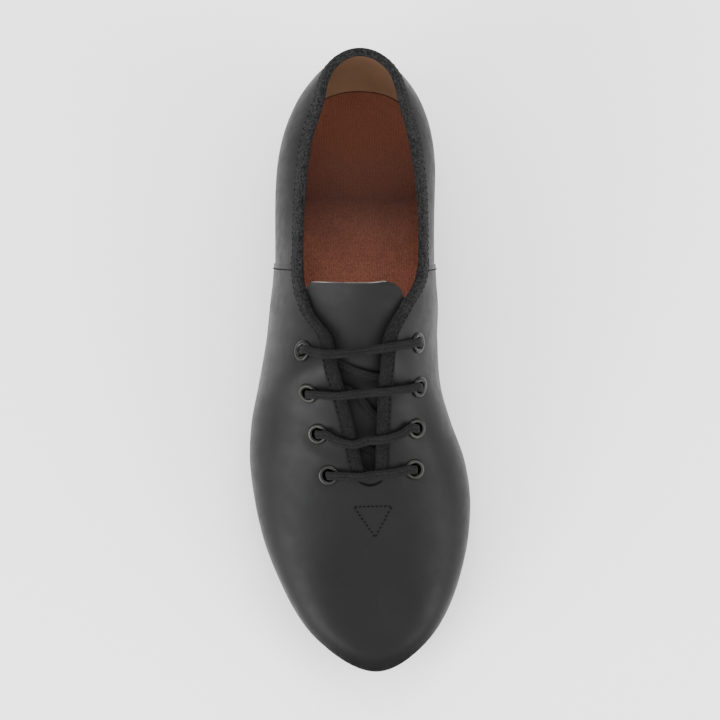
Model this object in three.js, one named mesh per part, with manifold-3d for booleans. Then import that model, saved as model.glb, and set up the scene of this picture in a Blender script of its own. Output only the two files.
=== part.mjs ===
// A right tap shoe for an adult, in millimetres with +Z up.
// The toe points toward -Y and the medial side (the big toe's side) is toward +X.
import * as THREE from 'three';
import Module from 'manifold-3d';

const wasm = await Module();
wasm.setup();

// Last
const length = 270;
const ballWidth = 96;
const instep = 69;
const heelRise = 18;
const toeSpring = 7.3;

// Upper and what is sewn to it
const frontWall = 2.0;
const rearWall = 1.4;
const bindingWidth = 4.8;
const bindingTape = 0.8;
const throatRound = 4.2;
const tongueThickness = 1.5;

// Bottom
const soleThickness = 4.2;
const soleMargin = 1.0;
const soleBevel = 0.8;
const insoleThickness = 2.4;
const heelTaper = 1.6;
const tapThickness = 2.5;
const tapInset = 1.4;

// Fittings
const eyeletHole = 2.5;
const eyeletBarrel = 3.0;
const eyeletFlange = 4.65;
const eyeletRoll = 4.0;
const flangeHeight = 0.7;
const rollHeight = 0.4;
const laceWidth = 3.9;
const laceThickness = 1.8;
const screwHead = 3.0;
const screwHeadHeight = 1.0;
const screwShank = 1.3;
const screwLength = 5.4;

// Clearance between neighbours that meet, and what the insole and the laces keep beyond it
const gap = 0.3;
const insoleEase = 0.15;
const laceEase = 0.45;
const foldEase = 0.25;

// Small lifts, chamfers and reaches of the fittings
const flangeLift = 1.6 * gap;
const flangeChamfer = 0.6;
const rollDrop = 2.5 * gap;
const holeUnder = 6;
const holeOver = 4;
const screwSunk = 0.2;
const screwHoleUnder = 2;
const tapDraft = 0.2;

// Places along the shoe, as shares of its length from the toe
const springShare = 0.23;
const archFootShare = 0.28;
const seatShare = 0.80;
const throatShare = 0.30;
const seamShare = 0.667;
const toeTapShare = 0.27;
const heelBreastShare = 0.755;

// One row for each section of the last, from the toe round to the back. A section fans out from the centre line at
// `along`, turned by `turn` degrees toward the back. Reaches are shares of the ball width, heights shares of the instep:
// the feather line (foot), the widest point (wide, at height rise), and the crest of the arch over it. `full` and
// `steep` shape the arch, `rake` and `sway` lean it back and sideways, and `cut` is the share of the arch that the
// upper covers.
const columns = [
  'along', 'turn', 'mid', 'footL', 'footM', 'wideL', 'wideM', 'rise', 'crest', 'full', 'steep', 'rake', 'sway',
  'cutL', 'cutM',
];
const sections = [
  [0.110, -90, 0.082, 0.292, 0.292, 0.307, 0.307, 0.101, 0.362, 0.42, 0.34, 0, 0, 0.95, 0.95],
  [0.125, -60, 0.081, 0.319, 0.302, 0.337, 0.323, 0.116, 0.391, 0.43, 0.34, 0, 0, 0.95, 0.95],
  [0.155, -36, 0.079, 0.375, 0.338, 0.402, 0.362, 0.138, 0.446, 0.44, 0.34, 0, 0, 0.95, 0.95],
  [0.195, -17, 0.074, 0.427, 0.380, 0.461, 0.402, 0.159, 0.509, 0.44, 0.33, 0, 0, 0.95, 0.95],
  [0.240, -5, 0.063, 0.469, 0.408, 0.515, 0.441, 0.181, 0.582, 0.44, 0.33, 0, 0, 0.95, 0.95],
  [0.290, 0, 0.048, 0.479, 0.411, 0.539, 0.462, 0.203, 0.662, 0.43, 0.33, 0, 0, 0.95, 0.95],
  [0.350, 0, 0.033, 0.469, 0.380, 0.544, 0.450, 0.217, 0.765, 0.42, 0.33, 0, 0, 0.929, 0.926],
  [0.410, 0, 0.017, 0.438, 0.323, 0.520, 0.403, 0.239, 0.875, 0.40, 0.33, 0, 0, 0.889, 0.888],
  [0.470, 0, 0.002, 0.396, 0.276, 0.472, 0.369, 0.268, 0.996, 0.38, 0.34, -0.10, 0.02, 0.835, 0.858],
  [0.540, 0, -0.005, 0.354, 0.260, 0.430, 0.362, 0.283, 1.012, 0.36, 0.35, -0.20, 0.05, 0.750, 0.830],
  [0.600, 0, -0.007, 0.333, 0.268, 0.409, 0.365, 0.290, 1.031, 0.34, 0.37, -0.30, 0.08, 0.548, 0.715],
  [0.660, 0, -0.008, 0.323, 0.284, 0.391, 0.354, 0.290, 1.083, 0.34, 0.40, -0.30, 0.09, 0.438, 0.507],
  [0.740, 5, -0.008, 0.319, 0.303, 0.393, 0.357, 0.297, 1.003, 0.34, 0.42, -0.15, 0.09, 0.444, 0.468],
  [0.800, 18, -0.007, 0.328, 0.322, 0.400, 0.377, 0.304, 0.936, 0.34, 0.44, 0, 0.07, 0.496, 0.529],
  [0.840, 40, -0.006, 0.341, 0.340, 0.400, 0.392, 0.319, 0.969, 0.34, 0.45, 0, 0.05, 0.528, 0.549],
  [0.858, 65, -0.006, 0.350, 0.350, 0.402, 0.397, 0.333, 1.112, 0.34, 0.45, 0, 0.03, 0.474, 0.494],
  [0.862, 90, -0.006, 0.352, 0.352, 0.408, 0.408, 0.333, 1.302, 0.34, 0.45, 0, 0.02, 0.403, 0.403],
].map((row) => Object.fromEntries(columns.map((name, k) => [name, row[k]])));

// Eyelets from the top row down: their places along the shoe and up the arch, on each side.
const eyeletColumns = ['alongL', 'upL', 'alongM', 'upM'];
const eyeletRows = [
  [0.490, 0.587, 0.505, 0.541],
  [0.424, 0.672, 0.437, 0.555],
  [0.363, 0.726, 0.373, 0.653],
  [0.300, 0.765, 0.310, 0.703],
].map((row) => Object.fromEntries(eyeletColumns.map((name, k) => [name, row[k]])));

// How far the tongue reaches to each side of the crest, from under the vamp to its rounded top.
const tongueRows = [
  { along: 0.255, L: 0.140, M: 0.140 },
  { along: 0.300, L: 0.170, M: 0.165 },
  { along: 0.400, L: 0.220, M: 0.195 },
  { along: 0.480, L: 0.250, M: 0.208 },
  { along: 0.510, L: 0.315, M: 0.217 },
  { along: 0.535, L: 0.362, M: 0.222 },
  { along: 0.552, L: 0.374, M: 0.206 },
  { along: 0.563, L: 0.370, M: 0.180 },
  { along: 0.571, L: 0.360, M: 0.146 },
  { along: 0.5765, L: 0.343, M: 0.104 },
  { along: 0.580, L: 0.315, M: 0.055 },
];

// Screws of each tap: along the shoe, and across from the centre line as a share of the ball width.
const toeScrews = [{ along: 0.055, across: 0 }, { along: 0.20, across: -0.26 }, { along: 0.20, across: 0.24 }];
const heelScrews = [{ along: 0.925, across: 0 }, { along: 0.81, across: -0.20 }, { along: 0.81, across: 0.20 }];

// Worked out from the above
const sideways = { L: -1, M: 1 };
const otherSide = { L: 'M', M: 'L' };
const toeReachShare = 0.3556;
const reachLength = toeReachShare * length;
const lowShare = 0.3;
const lowCurve = 0.35;
const springCurve = 1.8;
const rowStep = 0.02;
const shareStep = 0.01;
const edgeLimitShare = 0.97;
const lastRow = sections.length - 1;

// Rows of the table between which a place is looked for: at the throat's end, by the facings, and on the crest.
const throatRows = [3, 8];
const facingRows = [3, 11];
const crestRows = [2, 13];
const lapStep = frontWall - rearWall;
const outerFront = 0.4 * lapStep;
const innerFace = outerFront - frontWall;
const groundToFeather = tapThickness + gap + soleThickness + gap;
const laceUnder = innerFace - gap - bindingTape - gap - laceEase - laceThickness / 2;
const tongueTop = laceUnder - laceThickness / 2 - gap - 0.5 * laceEase;
const laceOver = outerFront + gap + bindingTape + gap + 0.7 * laceEase + laceThickness / 2;

const clamp = THREE.MathUtils.clamp;
const smooth = (t) => clamp(t, 0, 1) ** 2 * (3 - 2 * clamp(t, 0, 1));
const steps = (from, to, count) => Array.from({ length: count + 1 }, (_, k) => from + (to - from) * k / count);

// The number x in [low, high] at which a rising function passes a value.
function solve(rising, value, low, high) {
  for (let k = 0; k < 40; k += 1) {
    const middle = (low + high) / 2;
    if (rising(middle) < value) low = middle;
    else high = middle;
  }
  return (low + high) / 2;
}

// Height of the feather line, where upper and sole meet: toe spring, flat forefoot, arch and seat.
function featherHeight(along) {
  const spring = toeSpring * Math.max(1 - along / springShare, 0) ** springCurve;
  return groundToFeather + spring + heelRise * smooth((along - archFootShare) / (seatShare - archFootShare));
}

const alongOf = (y) => y / length + 0.5;
const yOf = (along) => (along - 0.5) * length;

// A value of the table at a whole row. Past either end the rows go on round the other side of the last.
function sectionValue(name, side, row) {
  const past = row < 0 || row > lastRow;
  const turned = row < 0 ? -row : 2 * lastRow - row;
  const section = sections[past ? turned : row];
  if (name === 'turn') return past ? Math.sign(row) * 180 - section.turn : section.turn;
  return section[name] ?? section[name + (past ? otherSide[side] : side)];
}

// A value of the table between rows, on a smooth curve through them.
function sectionAt(name, side, u) {
  const row = clamp(Math.floor(u), 0, lastRow - 1);
  const t = u - row;
  const [a, b, c, d] = [-1, 0, 1, 2].map((k) => sectionValue(name, side, row + k));
  return 0.5 * (2 * b + (c - a) * t + (2 * a - 5 * b + 4 * c - d) * t ** 2 + (3 * b - a - 3 * c + d) * t ** 3);
}

const rowOf = (along) => solve((u) => sectionAt('along', 'L', u), along, 0, lastRow);
const crestHeight = (u) => {
  return featherHeight(sectionAt('along', 'L', u)) + instep * sectionAt('crest', 'L', u);
};

// How steeply the arch falls forward at its crest, in the sections that fan out round the toe.
function crestFall(u, turn) {
  const [low, high] = [Math.max(u, lowShare) - rowStep, Math.max(u, lowShare) + rowStep];
  const run = yOf(sectionAt('along', 'L', high)) - yOf(sectionAt('along', 'L', low));
  const slope = clamp((crestHeight(high) - crestHeight(low)) / run, 0, 1);
  return Math.atan(slope * clamp(-Math.sin(turn), 0, 1));
}

// A point of the last's surface: u runs over the table's rows, v from the feather line (0) past the widest point
// (lowShare) to the crest (1).
function lastPoint(side, u, v) {
  const value = (name) => sectionAt(name, side, u);
  const turn = THREE.MathUtils.degToRad(value('turn'));
  const plan = (reach) => [
    value('mid') * ballWidth + sideways[side] * Math.cos(turn) * reach * ballWidth,
    yOf(value('along')) + Math.sin(turn) * reach * reachLength,
  ];
  const heightAt = (reach) => featherHeight(clamp(alongOf(plan(reach)[1]), 0, 1));
  const footZ = heightAt(value('foot'));
  const wideZ = heightAt(value('wide')) + value('rise') * instep;
  const crestZ = crestHeight(Math.max(u, 0));
  const wide = value('wide');
  let reach;
  let z;
  if (v <= lowShare) {
    const t = v / lowShare;
    reach = (1 - t) ** 2 * value('foot') + (1 - (1 - t) ** 2) * wide;
    z = (1 - t) ** 2 * footZ + 2 * t * (1 - t) * (footZ + lowCurve * (wideZ - footZ)) + t ** 2 * wideZ;
  } else {
    const t = (v - lowShare) / (1 - lowShare);
    const chord = Math.hypot(wide * ballWidth, crestZ - wideZ);
    const fall = crestFall(u, turn);
    const [one, two, three, four] = [(1 - t) ** 3, 3 * (1 - t) ** 2 * t, 3 * (1 - t) * t ** 2, t ** 3];
    const shoulder = value('full') * chord;
    reach = (one + two) * wide + three * shoulder * Math.cos(fall) / ballWidth;
    z = one * wideZ + two * (wideZ + value('steep') * chord) + three * (crestZ - shoulder * Math.sin(fall))
      + four * crestZ;
  }
  const [x, y] = plan(reach);
  const lean = z - wideZ;
  return new THREE.Vector3(x + value('sway') * lean, y + value('rake') * lean, z);
}

function lastNormal(side, u, v) {
  const alongU = lastPoint(side, u + rowStep, v).sub(lastPoint(side, u - rowStep, v));
  const alongV = lastPoint(side, u, v + shareStep).sub(lastPoint(side, u, v - shareStep));
  return alongU.cross(alongV).multiplyScalar(sideways[side]).normalize();
}

// A point at a height over the last's surface. Where both sides share a point, they share its normal too.
function overLast(side, u, v, height, shared = false) {
  const point = lastPoint(side, u, v);
  const normal = lastNormal(side, u, v);
  if (shared) {
    point.add(lastPoint(otherSide[side], u, v)).multiplyScalar(0.5);
    normal.add(lastNormal(otherSide[side], u, v)).normalize();
  }
  return point.addScaledVector(normal, height);
}

// How far up the arch a distance along the surface brings one, down from the share `from`.
function shareBelow(side, u, from, distance) {
  const covered = (drop) => {
    let sum = 0;
    steps(from, from - drop, 8).reduce((a, b) => {
      sum += lastPoint(side, u, a).distanceTo(lastPoint(side, u, b));
      return b;
    });
    return sum;
  };
  return from - solve(covered, distance, 0, from);
}

const archShare = (share) => lowShare + (1 - lowShare) * share;
const throatY = yOf(throatShare);
const ridgeY = (u) => lastPoint('L', u, 1).y;
const throatRow = solve(ridgeY, throatY, ...throatRows);

// Where the upper ends on the arch: the table's line, rounded off at the throat's end, and closed before it.
function edgeShare(side, u) {
  const behind = ridgeY(u) - throatY;
  if (behind <= 1e-6) return 1;
  const open = archShare(sectionAt('cut', side, u));
  if (behind >= throatRound) return open;
  const half = Math.sqrt(behind * (2 * throatRound - behind));
  const ridge = lastPoint(side, u, 1);
  const reached = (share) => -lastPoint(side, u, share).distanceTo(ridge);
  return Math.max(open, solve(reached, -half, open, 1));
}

// Collects triangles over welded points, drops those that have no area, and gives a closed geometry.
class Skin {
  points = [];
  faces = [];
  seen = new Map();

  vertex(point) {
    const key = point.toArray().map((value) => Math.round(value * 1e4)).join();
    if (!this.seen.has(key)) this.seen.set(key, this.points.push(point) - 1);
    return this.seen.get(key);
  }

  triangle(...corners) {
    const face = corners.map((corner) => this.vertex(corner));
    if (new Set(face).size === 3) this.faces.push(face);
  }

  strip(first, second, flip = false) {
    for (let k = 0; k + 1 < first.length; k += 1) {
      const [a, b, c, d] = [first[k], first[k + 1], second[k + 1], second[k]];
      if (flip) {
        this.triangle(a, c, b);
        this.triangle(a, d, c);
      } else {
        this.triangle(a, b, c);
        this.triangle(a, c, d);
      }
    }
  }

  grid(rows, flip = false) {
    rows.slice(1).forEach((row, k) => this.strip(rows[k], row, flip));
  }

  geometry() {
    const volume = this.faces.reduce((sum, face) => {
      const [a, b, c] = face.map((k) => this.points[k]);
      return sum + a.dot(b.clone().cross(c));
    }, 0);
    const faces = volume < 0 ? this.faces.map(([a, b, c]) => [a, c, b]) : this.faces;
    const geometry = new THREE.BufferGeometry();
    const numbers = this.points.flatMap((point) => point.toArray());
    geometry.setAttribute('position', new THREE.Float32BufferAttribute(numbers, 3));
    geometry.setIndex(faces.flat());
    return geometry;
  }
}

// A solid through closed rings of points, with its ends filled. A ring may close up to a line.
function loft(rings, capFaces) {
  const skin = new Skin();
  skin.grid(rings.map((ring) => [...ring, ring[0]]));
  for (const [a, b, c] of capFaces) {
    const [first, last] = [rings[0], rings.at(-1)];
    skin.triangle(first[a], first[c], first[b]);
    skin.triangle(last[a], last[b], last[c]);
  }
  return skin.geometry();
}

const fan = (count) => Array.from({ length: count - 2 }, (_, k) => [0, k + 1, k + 2]);

function toSolid(geometry) {
  const vertProperties = new Float32Array(geometry.attributes.position.array);
  const triVerts = new Uint32Array(geometry.index.array);
  return new wasm.Manifold(new wasm.Mesh({ numProp: 3, vertProperties, triVerts }));
}

function toGeometry(solid) {
  const mesh = solid.getMesh();
  const geometry = new THREE.BufferGeometry();
  geometry.setAttribute('position', new THREE.BufferAttribute(mesh.vertProperties, 3));
  geometry.setIndex(new THREE.BufferAttribute(mesh.triVerts, 1));
  return geometry;
}

// A turned piece: its profile holds [radius, height] pairs about an axis through `origin`.
function turned(profile, segments, origin, axis) {
  const turn = new THREE.Quaternion().setFromUnitVectors(new THREE.Vector3(0, 0, 1), axis);
  const rings = steps(0, 1, segments).map((share) => profile.map(([radius, height]) => {
    const angle = 2 * Math.PI * (share === 1 ? 0 : share);
    const point = new THREE.Vector3(radius * Math.cos(angle), radius * Math.sin(angle), height);
    return point.applyQuaternion(turn).add(origin);
  }));
  return loft(rings, []);
}

const cut = (geometry, cutters) => {
  return toGeometry(cutters.reduce((rest, cutter) => rest.subtract(toSolid(cutter)), toSolid(geometry)));
};

// The eyelets' places, each with its normal.
const eyelets = eyeletRows.flatMap((row, k) => ['L', 'M'].map((side) => {
  const share = archShare(row[`up${side}`]);
  const u = solve((at) => lastPoint(side, at, share).y, yOf(row[`along${side}`]), ...facingRows);
  return {
    name: `${side === 'L' ? 'lateral' : 'medial'}_${k + 1}`,
    side, u, share,
    centre: lastPoint(side, u, share),
    normal: lastNormal(side, u, share),
  };
}));
const eyeletAt = (side, row) => eyelets.find((eyelet) => eyelet.side === side && eyelet.name.endsWith(row + 1));

// The stations of the upper's skin: finer where the throat's end is round and where the collar turns into the
// facings, and a step at the side seam.
const roundShares = [0.13, 0.5, 1];
const cornerShares = [0.47, 0.60];

function upperStations() {
  const toe = steps(0, throatRow, 13);
  const round = roundShares.map((share) => solve(ridgeY, throatY + share * throatRound, ...throatRows));
  const seam = rowOf(seamShare);
  const [cornerStarts, cornerEnds] = cornerShares.map(rowOf);
  const facing = steps(round.at(-1), cornerStarts, 7).slice(1);
  const front = [...facing, ...steps(cornerStarts, cornerEnds, 6).slice(1), ...steps(cornerEnds, seam, 3).slice(1)];
  const rear = steps(seam + rowStep, lastRow, 14);
  return [...toe, ...round, ...front, ...rear].map((u) => ({
    u,
    closed: u <= throatRow,
    ends: u === 0 || u === lastRow,
    outer: u <= seam ? outerFront : outerFront - lapStep,
  }));
}

const lowRings = 3;
const archRings = 6;

function upperShape() {
  const stations = upperStations();
  const skin = new Skin();
  for (const side of ['L', 'M']) {
    const flip = side === 'M';
    const face = (height) => stations.map((station) => {
      const top = edgeShare(side, station.u);
      const bound = shareBelow(side, station.u, top, bindingWidth);
      const shares = [...steps(0, lowShare, lowRings), ...steps(lowShare, bound, archRings).slice(1), top];
      return shares.map((v, ring) => {
        const shared = station.ends || (station.closed && ring === shares.length - 1);
        if (ring > 0) return overLast(side, station.u, v, height(station), shared);
        const foot = featherPoint(side, station.u, height(station));
        return foot.setZ(featherHeight(alongOf(foot.y)));
      });
    });
    const outer = face((station) => station.outer);
    const inner = face(() => innerFace);
    skin.grid(outer, flip);
    skin.grid(inner, !flip);
    skin.strip(outer.map((row) => row[0]), inner.map((row) => row[0]), flip);
    const open = stations.map((station, k) => k).filter((k) => stations[k].u >= throatRow);
    skin.strip(open.map((k) => outer[k].at(-1)), open.map((k) => inner[k].at(-1)), !flip);
  }
  const holes = eyelets.map(({ centre, normal }) => {
    const radius = eyeletBarrel + gap;
    const profile = [[0, -holeUnder], [radius, -holeUnder], [radius, holeOver], [0, holeOver]];
    return turned(profile, 12, centre, normal);
  });
  return cut(skin.geometry(), holes);
}

// A point of the feather line, moved out of the shoe level with the ground.
function featherPoint(side, u, out) {
  const tangent = lastPoint(side, u + rowStep, 0).sub(lastPoint(side, u - rowStep, 0));
  const normal = new THREE.Vector3(tangent.y, -tangent.x, 0).multiplyScalar(sideways[side]).normalize();
  const point = lastPoint(side, u, 0);
  if (u === 0 || u === lastRow) {
    point.add(lastPoint(otherSide[side], u, 0)).multiplyScalar(0.5);
    normal.set(0, u === 0 ? -1 : 1, 0);
  }
  return point.addScaledVector(normal, out);
}

// The tape's lift over the last drops behind the side seam, where the rear panel lies lower.
function outerFace(u) {
  return outerFront - lapStep * smooth((u - rowOf(seamShare)) / 0.2);
}

// One tape folded over the edge of the upper, from one side of the throat round the back to the other.
function bindingShape() {
  const start = solve(ridgeY, throatY + 0.4 * throatRound, ...throatRows);
  const stations = upperStations().map(({ u }) => u).filter((u) => u > start);
  const ringAt = (side, u) => {
    const shared = u === lastRow;
    const top = edgeShare(side, u);
    const low = shareBelow(side, u, top, bindingWidth);
    const out = outerFace(u) + gap;
    const inside = innerFace - gap;
    const fold = gap + foldEase;
    const up = lastPoint(side, u, top + shareStep).sub(lastPoint(side, u, top - shareStep)).normalize();
    const at = (share, height, lift) => overLast(side, u, share, height, shared).addScaledVector(up, lift);
    return [
      at(low, out + bindingTape, 0),
      at(top, out + bindingTape, 0),
      at(top, out + 0.1 * bindingTape, fold + bindingTape),
      at(top, inside - 0.1 * bindingTape, fold + bindingTape),
      at(top, inside - bindingTape, 0),
      at(low, inside - bindingTape, 0),
      at(low, inside, 0),
      at(top, inside, fold),
      at(top, out, fold),
      at(low, out, 0),
    ];
  };
  const lateral = stations.map((u) => ringAt('L', u));
  const medial = stations.map((u) => ringAt('M', u)).reverse().slice(1);
  const capFaces = [[0, 1, 8], [0, 8, 9], [1, 2, 8], [2, 3, 8], [3, 7, 8], [3, 4, 7], [4, 5, 7], [5, 6, 7]];
  return loft([...lateral, ...medial], capFaces);
}

const tongueColumns = 14;

// The tongue lies on the foot's arch below the laces, and comes up to the vamp's inside where it is sewn in.
function tongueShape() {
  const across = steps(-1, 1, tongueColumns);
  const faceAt = (row, depth) => {
    const { along } = row;
    const u = solve(ridgeY, yOf(along), ...crestRows);
    const sewn = 1 - smooth((along - throatShare + 0.03) / 0.035);
    const height = THREE.MathUtils.lerp(tongueTop, innerFace - 1.5 * gap, sewn) - depth;
    return across.map((share) => {
      const side = share < 0 ? 'L' : 'M';
      const down = shareBelow(side, u, 1, Math.max(Math.abs(share) * row[side] * ballWidth, 1e-3));
      return share === 0 ? overLast(side, u, 1, height, true) : overLast(side, u, down, height);
    });
  };
  const rows = tongueRows.flatMap((row, k) => {
    const next = tongueRows[k + 1];
    if (!next) return [row];
    const parts = Math.max(1, Math.round((next.along - row.along) / 0.025));
    const between = (name, t) => THREE.MathUtils.lerp(row[name], next[name], t);
    return steps(0, 1, parts).slice(0, -1).map((t) => {
      return { along: between('along', t), L: between('L', t), M: between('M', t) };
    });
  });
  const top = rows.map((row) => faceAt(row, 0));
  const bottom = rows.map((row) => faceAt(row, tongueThickness));
  const skin = new Skin();
  skin.grid(top);
  skin.grid(bottom, true);
  skin.strip(top[0], bottom[0], true);
  skin.strip(top.at(-1), bottom.at(-1));
  skin.strip(top.map((row) => row[0]), bottom.map((row) => row[0]));
  skin.strip(top.map((row) => row.at(-1)), bottom.map((row) => row.at(-1)), true);
  return skin.geometry();
}

// A layer of the bottom: each level gives how far it stands out from the feather line and its height.
function layer(from, to, count, levels) {
  const rings = steps(from, to, count).map((u) => {
    const edge = (side) => levels.map(({ out, height }) => {
      const point = featherPoint(side, u, out);
      return point.setZ(height(alongOf(point.y)));
    });
    return [...edge('L'), ...edge('M').reverse()];
  });
  return loft(rings, fan(2 * levels.length));
}

const soleTopAt = (along) => featherHeight(along) - gap;
const soleBottomAt = (along) => soleTopAt(along) - soleThickness;
const tapTopAt = (along) => soleBottomAt(along) - gap;
const tapBottomAt = (along) => tapTopAt(along) - tapThickness;
const heelBottom = tapThickness + gap;
const heelMargin = soleMargin - soleBevel;

// A screw's place under a tap: on the tap's lower face, with the way up into the sole.
function screwFrames(places, bottomAt) {
  return places.map(({ along, across }) => {
    const mid = sectionAt('mid', 'L', rowOf(clamp(along, sections[0].along, sections[lastRow].along)));
    const slope = (bottomAt(along + 0.005) - bottomAt(along - 0.005)) / (0.01 * length);
    return {
      origin: new THREE.Vector3((mid + across) * ballWidth, yOf(along), bottomAt(along)),
      axis: new THREE.Vector3(0, -slope, 1).normalize(),
    };
  });
}

function screwShape({ origin, axis }) {
  const profile = [
    [0, screwSunk], [screwHead, screwSunk], [screwHead, screwSunk + screwHeadHeight],
    [screwShank, screwSunk + screwHeadHeight], [screwShank, screwLength], [0, screwLength],
  ];
  return turned(profile, 10, origin, axis);
}

function screwHole({ origin, axis }) {
  const seat = screwSunk + screwHeadHeight + gap;
  const profile = [
    [0, -screwHoleUnder], [screwHead + gap, -screwHoleUnder], [screwHead + gap, seat], [screwShank + gap, seat],
    [screwShank + gap, screwLength + gap], [0, screwLength + gap],
  ];
  return turned(profile, 10, origin, axis);
}

const toeFrames = screwFrames(toeScrews, tapBottomAt);
const heelFrames = screwFrames(heelScrews, () => 0);

const outsoleShape = () => cut(layer(0, lastRow, 36, [
  { out: soleMargin, height: soleTopAt },
  { out: soleMargin, height: (along) => soleBottomAt(along) + soleBevel },
  { out: soleMargin - soleBevel, height: soleBottomAt },
]), toeFrames.map(screwHole));

const insoleShape = () => layer(0, lastRow, 32, [
  { out: innerFace - gap - insoleEase, height: (along) => featherHeight(along) + insoleThickness },
  { out: innerFace - gap - insoleEase, height: featherHeight },
]);

const heelShape = () => cut(layer(rowOf(heelBreastShare), lastRow, 14, [
  { out: heelMargin, height: (along) => soleBottomAt(along) - gap },
  { out: heelMargin - heelTaper, height: () => heelBottom },
]), heelFrames.map(screwHole));

const toeTapShape = () => cut(layer(0, rowOf(toeTapShare), 18, [
  { out: soleMargin - tapInset, height: tapTopAt },
  { out: soleMargin - tapInset, height: tapBottomAt },
]), toeFrames.map(screwHole));

const heelTapShape = () => cut(layer(rowOf(heelBreastShare), lastRow, 14, [
  { out: heelMargin - heelTaper, height: () => tapThickness },
  { out: heelMargin - heelTaper - tapDraft, height: () => 0 },
]), heelFrames.map(screwHole));

// An eyelet: a flange outside, a barrel through the leather and a rolled rim inside.
function eyeletShape({ centre, normal }) {
  const flangeFoot = outerFront + flangeLift;
  const rollTop = innerFace - rollDrop;
  const profile = [
    [eyeletHole, flangeFoot + flangeHeight], [eyeletFlange - flangeChamfer, flangeFoot + flangeHeight],
    [eyeletFlange, flangeFoot],
    [eyeletBarrel, flangeFoot], [eyeletBarrel, rollTop],
    [eyeletRoll, rollTop], [eyeletRoll, rollTop - rollHeight], [eyeletHole, rollTop - rollHeight],
  ];
  return turned(profile, 12, centre, normal);
}

// A flat woven lace along a smooth curve through points, each with the way that its flat side faces.
function laceShape(stops, count) {
  const curve = new THREE.CatmullRomCurve3(stops.map((stop) => stop.point), false, 'centripetal');
  const rings = steps(0, 1, count).map((t) => {
    const place = t * (stops.length - 1);
    const k = Math.min(Math.floor(place), stops.length - 2);
    const up = stops[k].up.clone().lerp(stops[k + 1].up, place - k).normalize();
    const ahead = curve.getTangent(t);
    const across = ahead.clone().cross(up).normalize();
    const over = across.clone().cross(ahead);
    return steps(0, 1, 8).slice(1).map((turn) => {
      const angle = 2 * Math.PI * turn;
      return curve.getPoint(t)
        .addScaledVector(across, laceWidth / 2 * Math.cos(angle))
        .addScaledVector(over, laceThickness / 2 * Math.sin(angle));
    });
  });
  return loft(rings, fan(8));
}

const stopOver = (side, u, share, height) => ({
  point: overLast(side, u, share, height, share === 1), up: lastNormal(side, u, share),
});

// Where a bar leaves the straight line between its eyelets: how far it slips toward the toe over each facing and
// in the middle, and how far it sinks into the throat.
const barRows = [
  { slipL: 3.0, slipMiddle: 4.2, slipM: 4.6, sink: 1.5 },
  { slipL: 0.8, slipMiddle: 2.6, slipM: 2.4, sink: 1.5 },
  { slipL: 4.0, slipMiddle: 6.0, slipM: 5.6, sink: 1.0 },
  { slipL: 0.6, slipMiddle: 3.0, slipM: 2.4, sink: 0 },
];

function barStops(row) {
  const { slipL, slipMiddle, slipM, sink } = barRows[row];
  const overEdge = (side, slip) => {
    const { u, centre } = eyeletAt(side, row);
    const share = Math.min(edgeShare(side, u), edgeLimitShare);
    const at = solve((w) => lastPoint(side, w, share).y, centre.y - slip, ...facingRows);
    return stopOver(side, at, share, laceOver + laceEase);
  };
  const halfWay = (side, slip) => {
    const { u, share, centre } = eyeletAt(side, row);
    const half = (share + Math.min(edgeShare(side, u), edgeLimitShare)) / 2;
    const at = solve((w) => lastPoint(side, w, half).y, centre.y - slip / 2, ...facingRows);
    return stopOver(side, at, half, laceOver);
  };
  const [lateral, medial] = [eyeletAt('L', row), eyeletAt('M', row)];
  const [edgeL, edgeM] = [overEdge('L', slipL), overEdge('M', slipM)];
  const middle = edgeL.point.clone().add(edgeM.point).multiplyScalar(0.5);
  middle.y = (lateral.centre.y + medial.centre.y) / 2 - slipMiddle;
  middle.z -= sink;
  const crest = lastPoint('L', solve(ridgeY, middle.y, ...crestRows), 1).z + laceOver;
  if (middle.y < throatY + throatRound) middle.z = Math.max(middle.z, crest);
  return [
    stopOver('L', lateral.u, lateral.share, laceOver), halfWay('L', slipL), edgeL,
    { point: middle, up: edgeL.up.clone().add(edgeM.up).normalize() },
    edgeM, halfWay('M', slipM), stopOver('M', medial.u, medial.share, laceOver),
  ];
}

// How far each strand under the facings bows toward the toe.
const strandBows = [3.0, 4.5, 2.0];

// Under the facings a strand crosses from each lateral eyelet to the next medial one below it, and one strand joins
// the lateral ends.
function crossingShape() {
  const strand = (row) => {
    const [from, to] = [eyeletAt('L', row), eyeletAt('M', row + 1)];
    const whole = (1 - from.share) + (1 - to.share);
    const stops = steps(0, 1, 6).map((t) => {
      const travelled = t * whole;
      const lateral = travelled < 1 - from.share;
      const share = lateral ? from.share + travelled : to.share + whole - travelled;
      const side = lateral ? 'L' : 'M';
      const bow = strandBows[row] * Math.sin(Math.PI * t);
      const straight = THREE.MathUtils.lerp(from.u, to.u, t);
      const y = lastPoint(side, straight, share).y - bow;
      const at = solve((w) => lastPoint(side, w, share).y, y, ...facingRows);
      return stopOver(side, at, share, laceUnder);
    });
    return toSolid(laceShape(stops, 9));
  };
  const ends = eyeletRows.map((_, row) => eyeletAt('L', row));
  const rail = laceShape(ends.map(({ u, share }) => stopOver('L', u, share, laceUnder)), 7);
  return toGeometry([0, 1, 2].reduce((joined, row) => joined.add(strand(row)), toSolid(rail)));
}

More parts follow.
